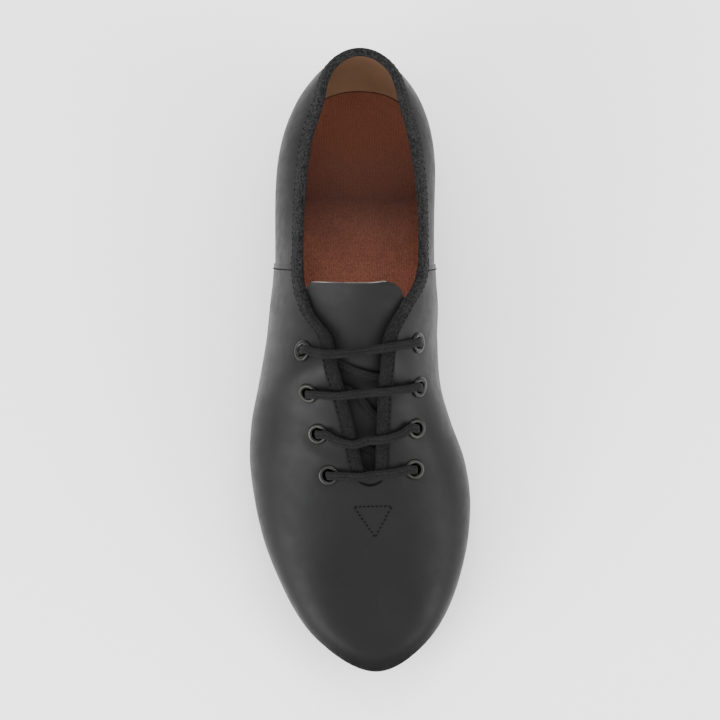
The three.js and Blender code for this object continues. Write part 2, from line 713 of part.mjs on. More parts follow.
const materials = {
  leather: new THREE.MeshStandardMaterial({ color: '#3a3a3c', roughness: 0.5 }),
  tape: new THREE.MeshStandardMaterial({ color: '#1c2024', roughness: 0.9 }),
  cotton: new THREE.MeshStandardMaterial({ color: '#1a1b1d', roughness: 0.95 }),
  sock: new THREE.MeshStandardMaterial({ color: '#6b372c', roughness: 0.8 }),
  sole: new THREE.MeshStandardMaterial({ color: '#202022', roughness: 0.6 }),
  heel: new THREE.MeshStandardMaterial({ color: '#1d1d1f', roughness: 0.6 }),
  eyelet: new THREE.MeshStandardMaterial({ color: '#5a5c5f', roughness: 0.35, metalness: 0.9 }),
  tap: new THREE.MeshStandardMaterial({ color: '#b9bbbd', roughness: 0.35, metalness: 1 }),
  screw: new THREE.MeshStandardMaterial({ color: '#8e9092', roughness: 0.3, metalness: 1 }),
};

const shoe = new THREE.Group();

function add(name, geometry, material) {
  const mesh = new THREE.Mesh(geometry, materials[material]);
  mesh.name = name;
  shoe.add(mesh);
}

add('outsole', outsoleShape(), 'sole');
add('insole', insoleShape(), 'sock');
add('upper', upperShape(), 'leather');
add('binding', bindingShape(), 'tape');
add('tongue', tongueShape(), 'leather');
add('heel', heelShape(), 'heel');
add('toe_tap', toeTapShape(), 'tap');
add('heel_tap', heelTapShape(), 'tap');
toeFrames.forEach((frame, k) => add(`toe_screw_${k + 1}`, screwShape(frame), 'screw'));
heelFrames.forEach((frame, k) => add(`heel_screw_${k + 1}`, screwShape(frame), 'screw'));
eyelets.forEach((eyelet) => add(`eyelet_${eyelet.name}`, eyeletShape(eyelet), 'eyelet'));
eyeletRows.forEach((_, row) => add(`lace_bar_${row + 1}`, laceShape(barStops(row), 10), 'cotton'));
add('lace_crossings', crossingShape(), 'cotton');

// The origin is under the middle of the whole shoe, on the ground.
const box = new THREE.Box3().setFromObject(shoe);
const centre = box.getCenter(new THREE.Vector3());
shoe.position.set(-centre.x, -centre.y, -box.min.z);

export default shoe;
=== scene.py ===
"""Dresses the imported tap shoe: leather, cotton tape, laces, lining, eyelets and taps over the fixed frame."""

import logging
import math
from dataclasses import dataclass, field
from enum import Enum
from typing import Any, Callable, Iterable, Mapping, Sequence

import bmesh
import bpy
import numpy as np
from mathutils import Matrix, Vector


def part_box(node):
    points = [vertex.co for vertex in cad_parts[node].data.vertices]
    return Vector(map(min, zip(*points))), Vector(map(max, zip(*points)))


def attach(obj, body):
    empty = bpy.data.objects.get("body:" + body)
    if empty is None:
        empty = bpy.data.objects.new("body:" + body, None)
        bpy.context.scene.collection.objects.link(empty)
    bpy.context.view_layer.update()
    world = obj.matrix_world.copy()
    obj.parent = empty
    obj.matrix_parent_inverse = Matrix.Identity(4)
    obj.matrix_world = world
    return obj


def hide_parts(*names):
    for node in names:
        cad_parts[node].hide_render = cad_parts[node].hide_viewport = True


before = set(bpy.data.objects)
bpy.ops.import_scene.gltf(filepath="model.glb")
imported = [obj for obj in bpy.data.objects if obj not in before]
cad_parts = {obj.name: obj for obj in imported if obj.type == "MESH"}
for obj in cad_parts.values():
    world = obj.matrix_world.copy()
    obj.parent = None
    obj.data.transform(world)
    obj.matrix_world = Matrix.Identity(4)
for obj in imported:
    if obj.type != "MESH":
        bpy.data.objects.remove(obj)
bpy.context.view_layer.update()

LOG = logging.getLogger("tap_shoe")
MM = 0.001
# How often a search halves its range.
HALVINGS = 36
# About how many millimetres along the shoe a row of the last's table takes.
ROW_LENGTH = 16.0
# About how many millimetres the upper measures from the feather line to the crest.
WALL_LENGTH = 110.0
# Painted shade on the toe's steep lower front, in the upper's coordinates: where it fades out along the shoe
# and up the wall.
TOE_SHADE_ALONG = (14.0, 36.0)
TOE_SHADE_UP = (34.0, 56.0)
TOE_SHADE_COLOR = "#040404"
# Where the gloss falls off toward the rear panels, in the upper's coordinates.
REAR_ALONG = (150.0, 190.0)
# How many of a fold's widths a step in the leather takes to level out.
STEP_SPREAD = 7
# How many points of the tape's section lie on the leather that it is folded over.
SLOT_POINTS = 6

Material = bpy.types.Material
Piece = bpy.types.Object
Curve = Callable[[np.ndarray], np.ndarray]
# Points, each with a direction.
Ways = list[tuple[np.ndarray, np.ndarray]]


class Side(Enum):
    """The two sides of the shoe, with the sign of X that each lies toward."""

    LATERAL = -1
    MEDIAL = 1

    @property
    def other(self) -> "Side":
        """The opposite side."""
        return Side(-self.value)


class Slot(Enum):
    """Names of the material slots, one for each kind of piece."""

    UPPER = "upper_leather"
    TAPE = "cotton_tape"
    LACE = "lace_cotton"
    SOCK = "sock"
    OUTSOLE = "outsole_leather"
    HEEL = "heel_stack"
    EYELET = "eyelet_metal"
    TAP = "tap_metal"
    SCREW = "screw_steel"


@dataclass(frozen=True)
class Sizes:
    """The shoe's driving sizes in millimetres, as in its solids."""

    length: float = 270.0
    ball_width: float = 96.0
    instep: float = 69.0
    heel_rise: float = 18.0
    toe_spring: float = 7.3
    front_wall: float = 2.0
    rear_wall: float = 1.4
    binding_width: float = 4.8
    binding_tape: float = 0.8
    throat_round: float = 4.2
    tongue_thickness: float = 1.5
    sole_thickness: float = 4.2
    sole_margin: float = 1.0
    sole_bevel: float = 0.8
    insole_thickness: float = 2.4
    heel_taper: float = 1.6
    tap_thickness: float = 2.5
    tap_inset: float = 1.4
    lace_width: float = 3.9
    lace_thickness: float = 1.8
    gap: float = 0.3
    insole_ease: float = 0.15
    lace_ease: float = 0.45
    fold_ease: float = 0.25
    spring_ends: float = 0.23
    arch_starts: float = 0.28
    seat_starts: float = 0.80
    throat_at: float = 0.30
    seam_at: float = 0.667
    toe_tap_ends: float = 0.27
    heel_breast: float = 0.755

    @property
    def lap_step(self) -> float:
        """How much the front panel stands over the rear one at the side seam."""
        return self.front_wall - self.rear_wall

    @property
    def outer_front(self) -> float:
        """Height of the front panel's face over the last's surface."""
        return 0.4 * self.lap_step

    @property
    def inner_face(self) -> float:
        """Height of the lining's face over the last's surface."""
        return self.outer_front - self.front_wall

    @property
    def feather(self) -> float:
        """Height of the feather line over the ground at the ball of the foot."""
        return self.tap_thickness + self.sole_thickness + 2 * self.gap

    @property
    def lace_under(self) -> float:
        """Height of the strands that cross under the facings."""
        clear = self.binding_tape + 2 * self.gap + self.lace_ease
        return self.inner_face - clear - self.lace_thickness / 2

    @property
    def lace_over(self) -> float:
        """Height of the bars that cross over the facings."""
        clear = self.binding_tape + 2 * self.gap + 0.7 * self.lace_ease
        return self.outer_front + clear + self.lace_thickness / 2

    @property
    def tongue_top(self) -> float:
        """Height of the tongue's upper face."""
        return self.lace_under - self.lace_thickness / 2 - self.gap - 0.5 * self.lace_ease


SECTION_COLUMNS = (
    "along", "turn", "mid", "foot_l", "foot_m", "wide_l", "wide_m", "rise",
    "crest", "full", "steep", "rake", "sway", "cut_l", "cut_m",
)
# A row for each section of the last, from the toe round to the back: reaches are shares of the ball width,
# heights shares of the instep, and turn is in degrees.
SECTIONS = (
    (0.110, -90, 0.082, 0.292, 0.292, 0.307, 0.307, 0.101, 0.362, 0.42, 0.34, 0, 0, 0.95, 0.95),
    (0.125, -60, 0.081, 0.319, 0.302, 0.337, 0.323, 0.116, 0.391, 0.43, 0.34, 0, 0, 0.95, 0.95),
    (0.155, -36, 0.079, 0.375, 0.338, 0.402, 0.362, 0.138, 0.446, 0.44, 0.34, 0, 0, 0.95, 0.95),
    (0.195, -17, 0.074, 0.427, 0.380, 0.461, 0.402, 0.159, 0.509, 0.44, 0.33, 0, 0, 0.95, 0.95),
    (0.240, -5, 0.063, 0.469, 0.408, 0.515, 0.441, 0.181, 0.582, 0.44, 0.33, 0, 0, 0.95, 0.95),
    (0.290, 0, 0.048, 0.479, 0.411, 0.539, 0.462, 0.203, 0.662, 0.43, 0.33, 0, 0, 0.95, 0.95),
    (0.350, 0, 0.033, 0.469, 0.380, 0.544, 0.450, 0.217, 0.765, 0.42, 0.33, 0, 0, 0.929, 0.926),
    (0.410, 0, 0.017, 0.438, 0.323, 0.520, 0.403, 0.239, 0.875, 0.40, 0.33, 0, 0, 0.889, 0.888),
    (0.470, 0, 0.002, 0.396, 0.276, 0.472, 0.369, 0.268, 0.996, 0.38, 0.34, -0.10, 0.02, 0.835, 0.858),
    (0.540, 0, -0.005, 0.354, 0.260, 0.430, 0.362, 0.283, 1.012, 0.36, 0.35, -0.20, 0.05, 0.750, 0.830),
    (0.600, 0, -0.007, 0.333, 0.268, 0.409, 0.365, 0.290, 1.031, 0.34, 0.37, -0.30, 0.08, 0.548, 0.715),
    (0.660, 0, -0.008, 0.323, 0.284, 0.391, 0.354, 0.290, 1.083, 0.34, 0.40, -0.30, 0.09, 0.438, 0.507),
    (0.740, 5, -0.008, 0.319, 0.303, 0.393, 0.357, 0.297, 1.003, 0.34, 0.42, -0.15, 0.09, 0.444, 0.468),
    (0.800, 18, -0.007, 0.328, 0.322, 0.400, 0.377, 0.304, 0.936, 0.34, 0.44, 0, 0.07, 0.496, 0.529),
    (0.840, 40, -0.006, 0.341, 0.340, 0.400, 0.392, 0.319, 0.969, 0.34, 0.45, 0, 0.05, 0.528, 0.549),
    (0.858, 65, -0.006, 0.350, 0.350, 0.402, 0.397, 0.333, 1.200, 0.34, 0.45, 0, 0.03, 0.432, 0.448),
    (0.862, 90, -0.006, 0.352, 0.352, 0.408, 0.408, 0.333, 1.302, 0.34, 0.45, 0, 0.02, 0.403, 0.403),
)
LAST_ROW = len(SECTIONS) - 1

# Eyelets from the top row down: (along, up the arch) on the lateral side, then on the medial side.
EYELETS = (
    ((0.490, 0.587), (0.505, 0.541)),
    ((0.424, 0.672), (0.437, 0.555)),
    ((0.363, 0.726), (0.373, 0.653)),
    ((0.300, 0.765), (0.310, 0.703)),
)

# The tongue's reach to each side of the crest: (along, lateral, medial).
TONGUE = (
    (0.255, 0.140, 0.140), (0.300, 0.170, 0.165), (0.400, 0.220, 0.195), (0.480, 0.250, 0.208),
    (0.510, 0.315, 0.217), (0.535, 0.362, 0.222), (0.552, 0.374, 0.206), (0.563, 0.370, 0.180),
    (0.571, 0.360, 0.146), (0.5765, 0.343, 0.104), (0.580, 0.315, 0.055),
)

# How high the sock's edge curls up the wall over the feather line, in millimetres: (row, lateral, medial).
SOCK_CURL = (
    (0.0, 2.6, 2.6), (5.0, 2.8, 2.8), (7.0, 3.2, 4.0), (9.0, 4.5, 7.5),
    (11.0, 5.0, 8.0), (13.0, 5.5, 7.5), (14.0, 6.5, 8.0), (14.5, 6.0, 7.8),
    (15.0, 3.8, 5.1), (15.3, 2.9, 3.5), (15.6, 2.4, 2.6), (16.0, 2.2, 2.2),
)


def smooth(share: np.ndarray | float) -> np.ndarray | float:
    """A soft step from 0 to 1."""
    t = np.clip(share, 0, 1)
    return t * t * (3 - 2 * t)


def unit(vectors: np.ndarray) -> np.ndarray:
    """The vectors at length one, along their last axis."""
    return vectors / np.maximum(np.linalg.norm(vectors, axis=-1, keepdims=True), 1e-12)


def solve(rising: Curve, value: np.ndarray, low: float, high: float) -> np.ndarray:
    """Finds where a rising function passes a value, for many values at once.

    Args:
        rising: The function, from an array to an array of the same shape.
        value: The values to reach.
        low: Where the search starts.
        high: Where the search ends.

    Returns:
        The places, one for each value.
    """
    value = np.asarray(value, float)
    a, b = np.full(value.shape, float(low)), np.full(value.shape, float(high))
    for _ in range(HALVINGS):
        middle = (a + b) / 2
        under = rising(middle) < value
        a, b = np.where(under, middle, a), np.where(under, b, middle)
    return (a + b) / 2


class Last:
    """The form that the upper was pulled over: u runs over the rows, v from the feather line to the crest."""

    low_share = 0.3
    low_curve = 0.35
    reach_length = 0.3556
    row_step = 0.02
    share_step = 0.01
    throat_rows = (3, 8)
    wall_steps = 80

    def __init__(self, sizes: Sizes) -> None:
        """Reads the table of sections, with a row more at either end for the curve round it."""
        self.sizes = sizes
        rows = [dict(zip(SECTION_COLUMNS, row)) for row in SECTIONS]
        self.tables = {side: self._extended(rows, side) for side in Side}
        top = self.arch(np.array(1.0))
        self.throat_y = self.y_of(sizes.throat_at)
        self.throat_row = float(solve(lambda u: self.point(Side.LATERAL, u, top)[..., 1],
                                      np.array(self.throat_y), *self.throat_rows))
        self.seam_row = float(self.row_of(sizes.seam_at))

    @staticmethod
    def _extended(rows: Sequence[Mapping[str, float]], side: Side) -> dict[str, np.ndarray]:
        letter = {Side.LATERAL: "_l", Side.MEDIAL: "_m"}
        table = {}
        names = dict.fromkeys(column.removesuffix("_l").removesuffix("_m") for column in SECTION_COLUMNS)
        for name in names:
            sided = name not in SECTION_COLUMNS
            own = [row[name + letter[side]] if sided else row[name] for row in rows]
            across = [row[name + letter[side.other]] if sided else row[name] for row in rows]
            before, after = across[1], across[-2]
            if name == "turn":
                before, after = -180 - before, 180 - after
            table[name] = np.array([before, *own, after], float)
        return table

    def value(self, name: str, side: Side, u: np.ndarray) -> np.ndarray:
        """A value of the table between rows, on a smooth curve through them."""
        row = np.clip(np.floor(u).astype(int), 0, LAST_ROW - 1)
        t = u - row
        a, b, c, d = (self.tables[side][name][row + k] for k in range(4))
        return 0.5 * (2 * b + (c - a) * t + (2 * a - 5 * b + 4 * c - d) * t**2
                      + (3 * b - a - 3 * c + d) * t**3)

    def row_of(self, along: np.ndarray | float) -> np.ndarray:
        """The row at a place along the shoe."""
        return solve(lambda u: self.value("along", Side.LATERAL, u), np.asarray(along, float), 0, LAST_ROW)

    def along_of(self, y: np.ndarray) -> np.ndarray:
        """The place along the shoe of a Y."""
        return y / self.sizes.length + 0.5

    def y_of(self, along: np.ndarray | float) -> np.ndarray | float:
        """The Y of a place along the shoe."""
        return (along - 0.5) * self.sizes.length

    def feather(self, along: np.ndarray) -> np.ndarray:
        """Height of the feather line: toe spring, flat forefoot, arch and seat."""
        s = self.sizes
        spring = s.toe_spring * np.maximum(1 - along / s.spring_ends, 0) ** 1.8
        arch = s.heel_rise * smooth((along - s.arch_starts) / (s.seat_starts - s.arch_starts))
        return s.feather + spring + arch

    def crest(self, u: np.ndarray) -> np.ndarray:
        """Height of the arch's crest."""
        along = self.value("along", Side.LATERAL, u)
        return self.feather(along) + self.sizes.instep * self.value("crest", Side.LATERAL, u)

    def _fall(self, u: np.ndarray, turn: np.ndarray) -> np.ndarray:
        low, high = np.maximum(u, 0.3) - self.row_step, np.maximum(u, 0.3) + self.row_step
        low_y, high_y = (self.y_of(self.value("along", Side.LATERAL, row)) for row in (low, high))
        run = high_y - low_y
        slope = np.clip((self.crest(high) - self.crest(low)) / np.where(np.abs(run) > 1e-9, run, 1e-9), 0, 1)
        return np.arctan(slope * np.clip(-np.sin(turn), 0, 1))

    def arch(self, share: np.ndarray | float) -> np.ndarray | float:
        """The v of a share of the arch, from the widest point to the crest."""
        return self.low_share + (1 - self.low_share) * share

    def point(self, side: Side, u: np.ndarray, v: np.ndarray) -> np.ndarray:
        """Points of the last's surface.

        Args:
            side: The side of the shoe.
            u: Rows of the table.
            v: Shares from the feather line (0) past the widest point to the crest (1), shaped like u.

        Returns:
            The points, with a last axis of three.
        """
        u, v = np.broadcast_arrays(np.asarray(u, float), np.asarray(v, float))
        s = self.sizes
        get = {name: self.value(name, side, u) for name in self.tables[side]}
        turn = np.radians(get["turn"])
        across = side.value * np.cos(turn) * s.ball_width
        ahead = np.sin(turn) * self.reach_length * s.length
        x0, y0 = get["mid"] * s.ball_width, self.y_of(get["along"])

        def ground(reach: np.ndarray) -> np.ndarray:
            return self.feather(np.clip(self.along_of(y0 + ahead * reach), 0, 1))

        foot_z = ground(get["foot"])
        wide_z = ground(get["wide"]) + get["rise"] * s.instep
        crest_z = self.crest(np.maximum(u, 0))
        wide = get["wide"]
        t = v / self.low_share
        low_reach = (1 - t) ** 2 * get["foot"] + (1 - (1 - t) ** 2) * wide
        knee = foot_z + self.low_curve * (wide_z - foot_z)
        low_z = (1 - t) ** 2 * foot_z + 2 * t * (1 - t) * knee + t**2 * wide_z
        t = (v - self.low_share) / (1 - self.low_share)
        chord = np.hypot(wide * s.ball_width, crest_z - wide_z)
        fall = self._fall(u, turn)
        one, two, three, four = (1 - t) ** 3, 3 * (1 - t) ** 2 * t, 3 * (1 - t) * t**2, t**3
        shoulder = get["full"] * chord
        arch_reach = (one + two) * wide + three * shoulder * np.cos(fall) / s.ball_width
        arch_z = (one * wide_z + two * (wide_z + get["steep"] * chord)
                  + three * (crest_z - shoulder * np.sin(fall)) + four * crest_z)
        low = v <= self.low_share
        reach, z = np.where(low, low_reach, arch_reach), np.where(low, low_z, arch_z)
        lean = z - wide_z
        x = x0 + across * reach + get["sway"] * lean
        y = y0 + ahead * reach + get["rake"] * lean
        return np.stack([x, y, z], -1)

    def slopes(self, side: Side, u: np.ndarray, v: np.ndarray) -> tuple[np.ndarray, np.ndarray]:
        """The ways along the shoe and up the arch at points of the surface, each of length one."""
        ahead = self.point(side, u + self.row_step, v) - self.point(side, u - self.row_step, v)
        upward = self.point(side, u, v + self.share_step) - self.point(side, u, v - self.share_step)
        return unit(ahead), unit(upward)

    def normal(self, side: Side, u: np.ndarray, v: np.ndarray) -> np.ndarray:
        """The surface's outward normals."""
        ahead, upward = self.slopes(side, u, v)
        return unit(np.cross(ahead, upward) * side.value)

    def over(self, side: Side, u: np.ndarray, v: np.ndarray, height: np.ndarray | float,
             shared: np.ndarray | bool = False) -> np.ndarray:
        """Points at a height over the surface.

        Args:
            side: The side of the shoe.
            u: Rows of the table.
            v: Shares up the section.
            height: Height over the surface in millimetres, or an array of heights.
            shared: Where the two sides share a point, and so its normal.

        Returns:
            The points.
        """
        u, v = np.broadcast_arrays(np.asarray(u, float), np.asarray(v, float))
        shared = np.broadcast_to(np.asarray(shared), u.shape)[..., None]
        own, own_normal = self.point(side, u, v), self.normal(side, u, v)
        if shared.any():
            far, far_normal = self.point(side.other, u, v), self.normal(side.other, u, v)
            own = np.where(shared, (own + far) / 2, own)
            own_normal = np.where(shared, unit(own_normal + far_normal), own_normal)
        return own + own_normal * np.broadcast_to(np.asarray(height, float), u.shape)[..., None]

    def ridge_y(self, u: np.ndarray) -> np.ndarray:
        """The Y of the crest at rows."""
        return self.point(Side.LATERAL, u, np.ones_like(u))[..., 1]

    def row_at_ridge(self, y: np.ndarray | float) -> np.ndarray:
        """The row whose crest is at a Y."""
        return solve(self.ridge_y, np.asarray(y, float), 2, 13)

    def edge(self, side: Side, u: np.ndarray) -> np.ndarray:
        """How far up the arch the upper reaches: the table's line, rounded and closed at the throat."""
        s = self.sizes
        behind = self.ridge_y(u) - self.throat_y
        table = self.arch(self.value("cut", side, u))
        half = np.sqrt(np.clip(behind * (2 * s.throat_round - behind), 0, None))
        ridge = self.point(side, u, np.ones_like(u))
        shares = solve(lambda w: -np.linalg.norm(self.point(side, u, w) - ridge, axis=-1), -half,
                       self.low_share, 1)
        rounded = np.where(behind < s.throat_round, np.maximum(table, shares), table)
        return np.where(behind <= 1e-6, 1.0, rounded)

    def below(self, side: Side, u: np.ndarray, top: np.ndarray, distance: np.ndarray | float) -> np.ndarray:
        """The shares at a distance along the surface below the shares `top`."""
        distance = np.broadcast_to(np.asarray(distance, float), u.shape)
        shares = top[:, None] * np.linspace(1, 0, self.wall_steps)[None, :]
        steps = np.linalg.norm(np.diff(self.point(side, u[:, None], shares), axis=1), axis=-1)
        run = np.concatenate([np.zeros((len(u), 1)), np.cumsum(steps, 1)], 1)
        return np.array([np.interp(d, r, w) for d, r, w in zip(distance, run, shares)])

    def foot_point(self, side: Side, u: np.ndarray, out: np.ndarray | float) -> np.ndarray:
        """Points of the feather line, moved out of the shoe level with the ground."""
        zero = np.zeros_like(u)
        ahead = self.point(side, u + self.row_step, zero) - self.point(side, u - self.row_step, zero)
        normal = unit(np.stack([ahead[..., 1], -ahead[..., 0], zero], -1) * side.value)
        point = self.point(side, u, zero)
        for row, way in ((0, -1.0), (LAST_ROW, 1.0)):
            at_end = (np.abs(u - row) < 1e-9)[..., None]
            middle = (point + self.point(side.other, u, zero)) / 2
            point = np.where(at_end, middle, point)
            normal = np.where(at_end, np.array([0.0, way, 0.0]), normal)
        return point + normal * np.broadcast_to(np.asarray(out, float), u.shape)[..., None]


class Draft:
    """Collects grids of points, in millimetres, and makes one welded object from them."""

    weld = 2e-6
    sliver = 1e-7

    def __init__(self, shift: np.ndarray) -> None:
        """Starts an empty draft whose points are moved by `shift`, in millimetres."""
        self.shift = shift
        self.points: list[np.ndarray] = []
        self.uvs: list[np.ndarray] = []
        self.faces: list[np.ndarray] = []
        self.slots: list[np.ndarray] = []
        self.count = 0

    def grid(self, points: np.ndarray, uv: np.ndarray | None = None, slot: int = 0,
             flip: bool = False) -> None:
        """Adds a grid of quads.

        Args:
            points: Its points, rows by columns by three.
            uv: Its coordinates in millimetres, rows by columns by two; zero where they don't matter.
            slot: The index of its material.
            flip: Whether its faces turn the other way.
        """
        rows, columns = points.shape[:2]
        index = np.arange(rows * columns).reshape(rows, columns) + self.count
        quads = np.stack([index[:-1, :-1], index[:-1, 1:], index[1:, 1:], index[1:, :-1]], -1).reshape(-1, 4)
        self.faces.append(quads[:, ::-1] if flip else quads)
        self.slots.append(np.full(len(quads), slot))
        self.points.append(points.reshape(-1, 3))
        self.uvs.append(np.zeros((rows * columns, 2)) if uv is None else uv.reshape(-1, 2))
        self.count += rows * columns

    def build(self, name: str, materials: Sequence[Material], recalc: bool = True) -> Piece:
        """Makes the object.

        Args:
            name: The piece's name.
            materials: Its materials, in the order of the slots.
            recalc: Whether its faces are turned to point out of the closed mesh.

        Returns:
            The object, in the scene's collection.
        """
        points = (np.concatenate(self.points) + self.shift) * MM
        faces = np.concatenate(self.faces)
        mesh = bpy.data.meshes.new(name)
        mesh.vertices.add(len(points))
        mesh.vertices.foreach_set("co", points.ravel())
        mesh.loops.add(faces.size)
        mesh.loops.foreach_set("vertex_index", faces.ravel())
        mesh.polygons.add(len(faces))
        mesh.polygons.foreach_set("loop_start", np.arange(len(faces)) * 4)
        mesh.polygons.foreach_set("material_index", np.concatenate(self.slots))
        layer = mesh.uv_layers.new(name="UVMap")
        layer.data.foreach_set("uv", np.concatenate(self.uvs)[faces.ravel()].ravel())
        mesh.update(calc_edges=True)
        work = bmesh.new()
        work.from_mesh(mesh)
        bmesh.ops.remove_doubles(work, verts=work.verts, dist=self.weld)
        bmesh.ops.dissolve_degenerate(work, edges=work.edges, dist=self.sliver)
        if recalc:
            bmesh.ops.recalc_face_normals(work, faces=work.faces)
        for face in work.faces:
            face.smooth = True
        work.to_mesh(mesh)
        work.free()
        for material in materials:
            mesh.materials.append(material)
        made = bpy.data.objects.new(name, mesh)
        bpy.context.scene.collection.objects.link(made)
        return made


def linear(hex_color: str) -> tuple[float, float, float, float]:
    """An sRGB hex colour as linear light with an alpha of one."""
    values = [int(hex_color[k:k + 2], 16) / 255 for k in (1, 3, 5)]
    light = [v / 12.92 if v <= 0.04045 else ((v + 0.055) / 1.055) ** 2.4 for v in values]
    return (*light, 1.0)


def per_mm(pitch: float) -> float:
    """The texture scale, on coordinates in metres, that repeats at a pitch in millimetres."""
    return 1 / (pitch * MM)


def add_node(tree: bpy.types.NodeTree, kind: str, settings: Mapping[Any, Any] | None = None,
             links: Mapping[Any, Any] | None = None) -> bpy.types.Node:
    """Adds a node with its settings and links.

    Args:
        tree: The material's node tree.
        kind: The node's type.
        settings: Values by the name or number of an input, or by the name of a property of the node.
        links: Output sockets by the name or number of the input that each goes to.

    Returns:
        The node.
    """
    made = tree.nodes.new(kind)
    for name, value in (settings or {}).items():
        if isinstance(name, int) or name in made.inputs:
            made.inputs[name].default_value = value
        else:
            setattr(made, name, value)
    for name, source in (links or {}).items():
        tree.links.new(source, made.inputs[name])
    return made


@dataclass
class Shader:
    """A material under construction, with short calls for the patterns that the finishes share."""

    name: str
    tree: bpy.types.NodeTree = field(init=False)
    material: Material = field(init=False)

    def __post_init__(self) -> None:
        """Makes the material with an empty tree."""
        self.material = bpy.data.materials.new(self.name)
        self.material.use_nodes = True
        self.tree = self.material.node_tree
        self.tree.nodes.clear()
        coordinates = add_node(self.tree, "ShaderNodeTexCoord")
        self.place, self.uv = coordinates.outputs["Object"], coordinates.outputs["UV"]

    def split(self, vector: Any) -> tuple[Any, ...]:
        """A vector's three parts."""
        return tuple(add_node(self.tree, "ShaderNodeSeparateXYZ", None, {"Vector": vector}).outputs)

    def math(self, operation: str, first: Any, second: Any = 0.0) -> Any:
        """A Math node's output, from sockets or plain numbers."""
        made = add_node(self.tree, "ShaderNodeMath", {"operation": operation})
        for k, value in enumerate((first, second)):
            if isinstance(value, (int, float)):
                made.inputs[k].default_value = value
            else:
                self.tree.links.new(value, made.inputs[k])
        return made.outputs[0]

    def times(self, first: Any, second: Any) -> Any:
        """Two values multiplied."""
        return self.math("MULTIPLY", first, second)

    def plus(self, first: Any, second: Any) -> Any:
        """Two values added."""
        return self.math("ADD", first, second)

    def wave(self, value: Any, period: float) -> Any:
        """The sine of a value, which repeats at a period."""
        return self.math("SINE", self.times(value, 2 * math.pi / period))

    def noise(self, pitch: float, detail: float = 3.0, rough: float = 0.55, at: Any = None) -> Any:
        """Noise whose blotches are about `pitch` millimetres apart."""
        made = add_node(self.tree, "ShaderNodeTexNoise",
                        {"Scale": per_mm(pitch), "Detail": detail, "Roughness": rough},
                        {"Vector": at or self.place})
        return made.outputs["Fac"]

    def cells(self, pitch: float) -> Any:
        """The distance to the edges of Voronoi cells about `pitch` millimetres apart."""
        settings = {"feature": "DISTANCE_TO_EDGE", "Scale": per_mm(pitch)}
        made = add_node(self.tree, "ShaderNodeTexVoronoi", settings, {"Vector": self.place})
        return made.outputs["Distance"]

    def spread(self, value: Any, low: float, high: float, out_low: float = 0.0,
               out_high: float = 1.0) -> Any:
        """A value's range from low to high, stretched to the new range."""
        settings = {"From Min": low, "From Max": high, "To Min": out_low, "To Max": out_high}
        return add_node(self.tree, "ShaderNodeMapRange", settings, {"Value": value}).outputs["Result"]

    def blend(self, share: Any, first: Any, second: Any) -> Any:
        """Two colours, hex or sockets, mixed by a share."""
        made = add_node(self.tree, "ShaderNodeMix", {"data_type": "RGBA"})
        self.tree.links.new(share, made.inputs[0])
        for k, value in ((6, first), (7, second)):
            if isinstance(value, str):
                made.inputs[k].default_value = linear(value)
            else:
                self.tree.links.new(value, made.inputs[k])
        return made.outputs[2]

    def bump(self, height: Any, depth: float, before: Any = None) -> Any:
        """A bump of a depth in millimetres, over the one before it."""
        links = {"Height": height} if before is None else {"Height": height, "Normal": before}
        made = add_node(self.tree, "ShaderNodeBump", {"Distance": depth * MM, "Strength": 1.0}, links)
        return made.outputs["Normal"]

    def finish(self, settings: Mapping[str, Any], links: Mapping[str, Any]) -> Material:
        """Closes the material with a Principled shader."""
        surface = add_node(self.tree, "ShaderNodeBsdfPrincipled", settings, links)
        add_node(self.tree, "ShaderNodeOutputMaterial", None, {"Surface": surface.outputs["BSDF"]})
        return self.material

    def cotton(self, roughness: float, sheen: float, tint: str, links: Mapping[str, Any]) -> Material:
        """Closes the material as cotton: matt, with the faint sheen of loose fibres."""
        settings = {"Roughness": roughness, "IOR": 1.45, "Specular IOR Level": 0.15, "Sheen Weight": sheen,
                    "Sheen Roughness": 0.5, "Sheen Tint": linear(tint)}
        return self.finish(settings, links)


@dataclass(frozen=True)
class Leather:
    """Finished leather: dyed through, with a thin finish that gives a soft, broken gloss on a fine grain."""

    name: str
    color: str
    lighter: str
    roughness: float = 0.42
    grain: float = 0.75
    grain_depth: float = 0.035
    soft_depth: float = 0.13
    gloss: float = 0.13
    shaded_toe: bool = False

    def build(self) -> Material:
        """Makes the material."""
        shader = Shader(self.name)
        grain = shader.cells(self.grain)
        pores = shader.noise(self.grain * 0.45, 4)
        unevenness = shader.noise(18, 2, 0.5)
        normal = shader.bump(unevenness, self.soft_depth)
        normal = shader.bump(shader.spread(grain, 0, 0.12), self.grain_depth, normal)
        normal = shader.bump(pores, self.grain_depth * 0.8, normal)
        tone = shader.blend(shader.spread(shader.noise(32, 4), 0.35, 0.7), self.color, self.lighter)
        gloss = shader.spread(shader.noise(6, 4), 0.3, 0.75, self.roughness - 0.05, self.roughness + 0.07)
        settings = {"IOR": 1.45, "Specular IOR Level": self.gloss}
        links = {"Base Color": tone, "Roughness": gloss, "Normal": normal}
        # Painted shade on the toe's steep lower front: near-black colour there, with less gloss and more
        # roughness.
        if self.shaded_toe:
            along, up, _ = shader.split(shader.uv)
            low = shader.spread(up, *TOE_SHADE_UP, 1.0, 0.0)
            front = shader.spread(along, *TOE_SHADE_ALONG, 1.0, 0.0)
            toe = shader.times(low, front)
            polish = shader.spread(along, *REAR_ALONG, self.gloss, 0.4 * self.gloss)
            links["Specular IOR Level"] = shader.times(polish, shader.spread(toe, 0.0, 1.0, 1.0, 0.15))
            links["Base Color"] = shader.blend(toe, tone, TOE_SHADE_COLOR)
            links["Roughness"] = shader.plus(gloss, shader.times(toe, 0.4))
        return shader.finish(settings, links)


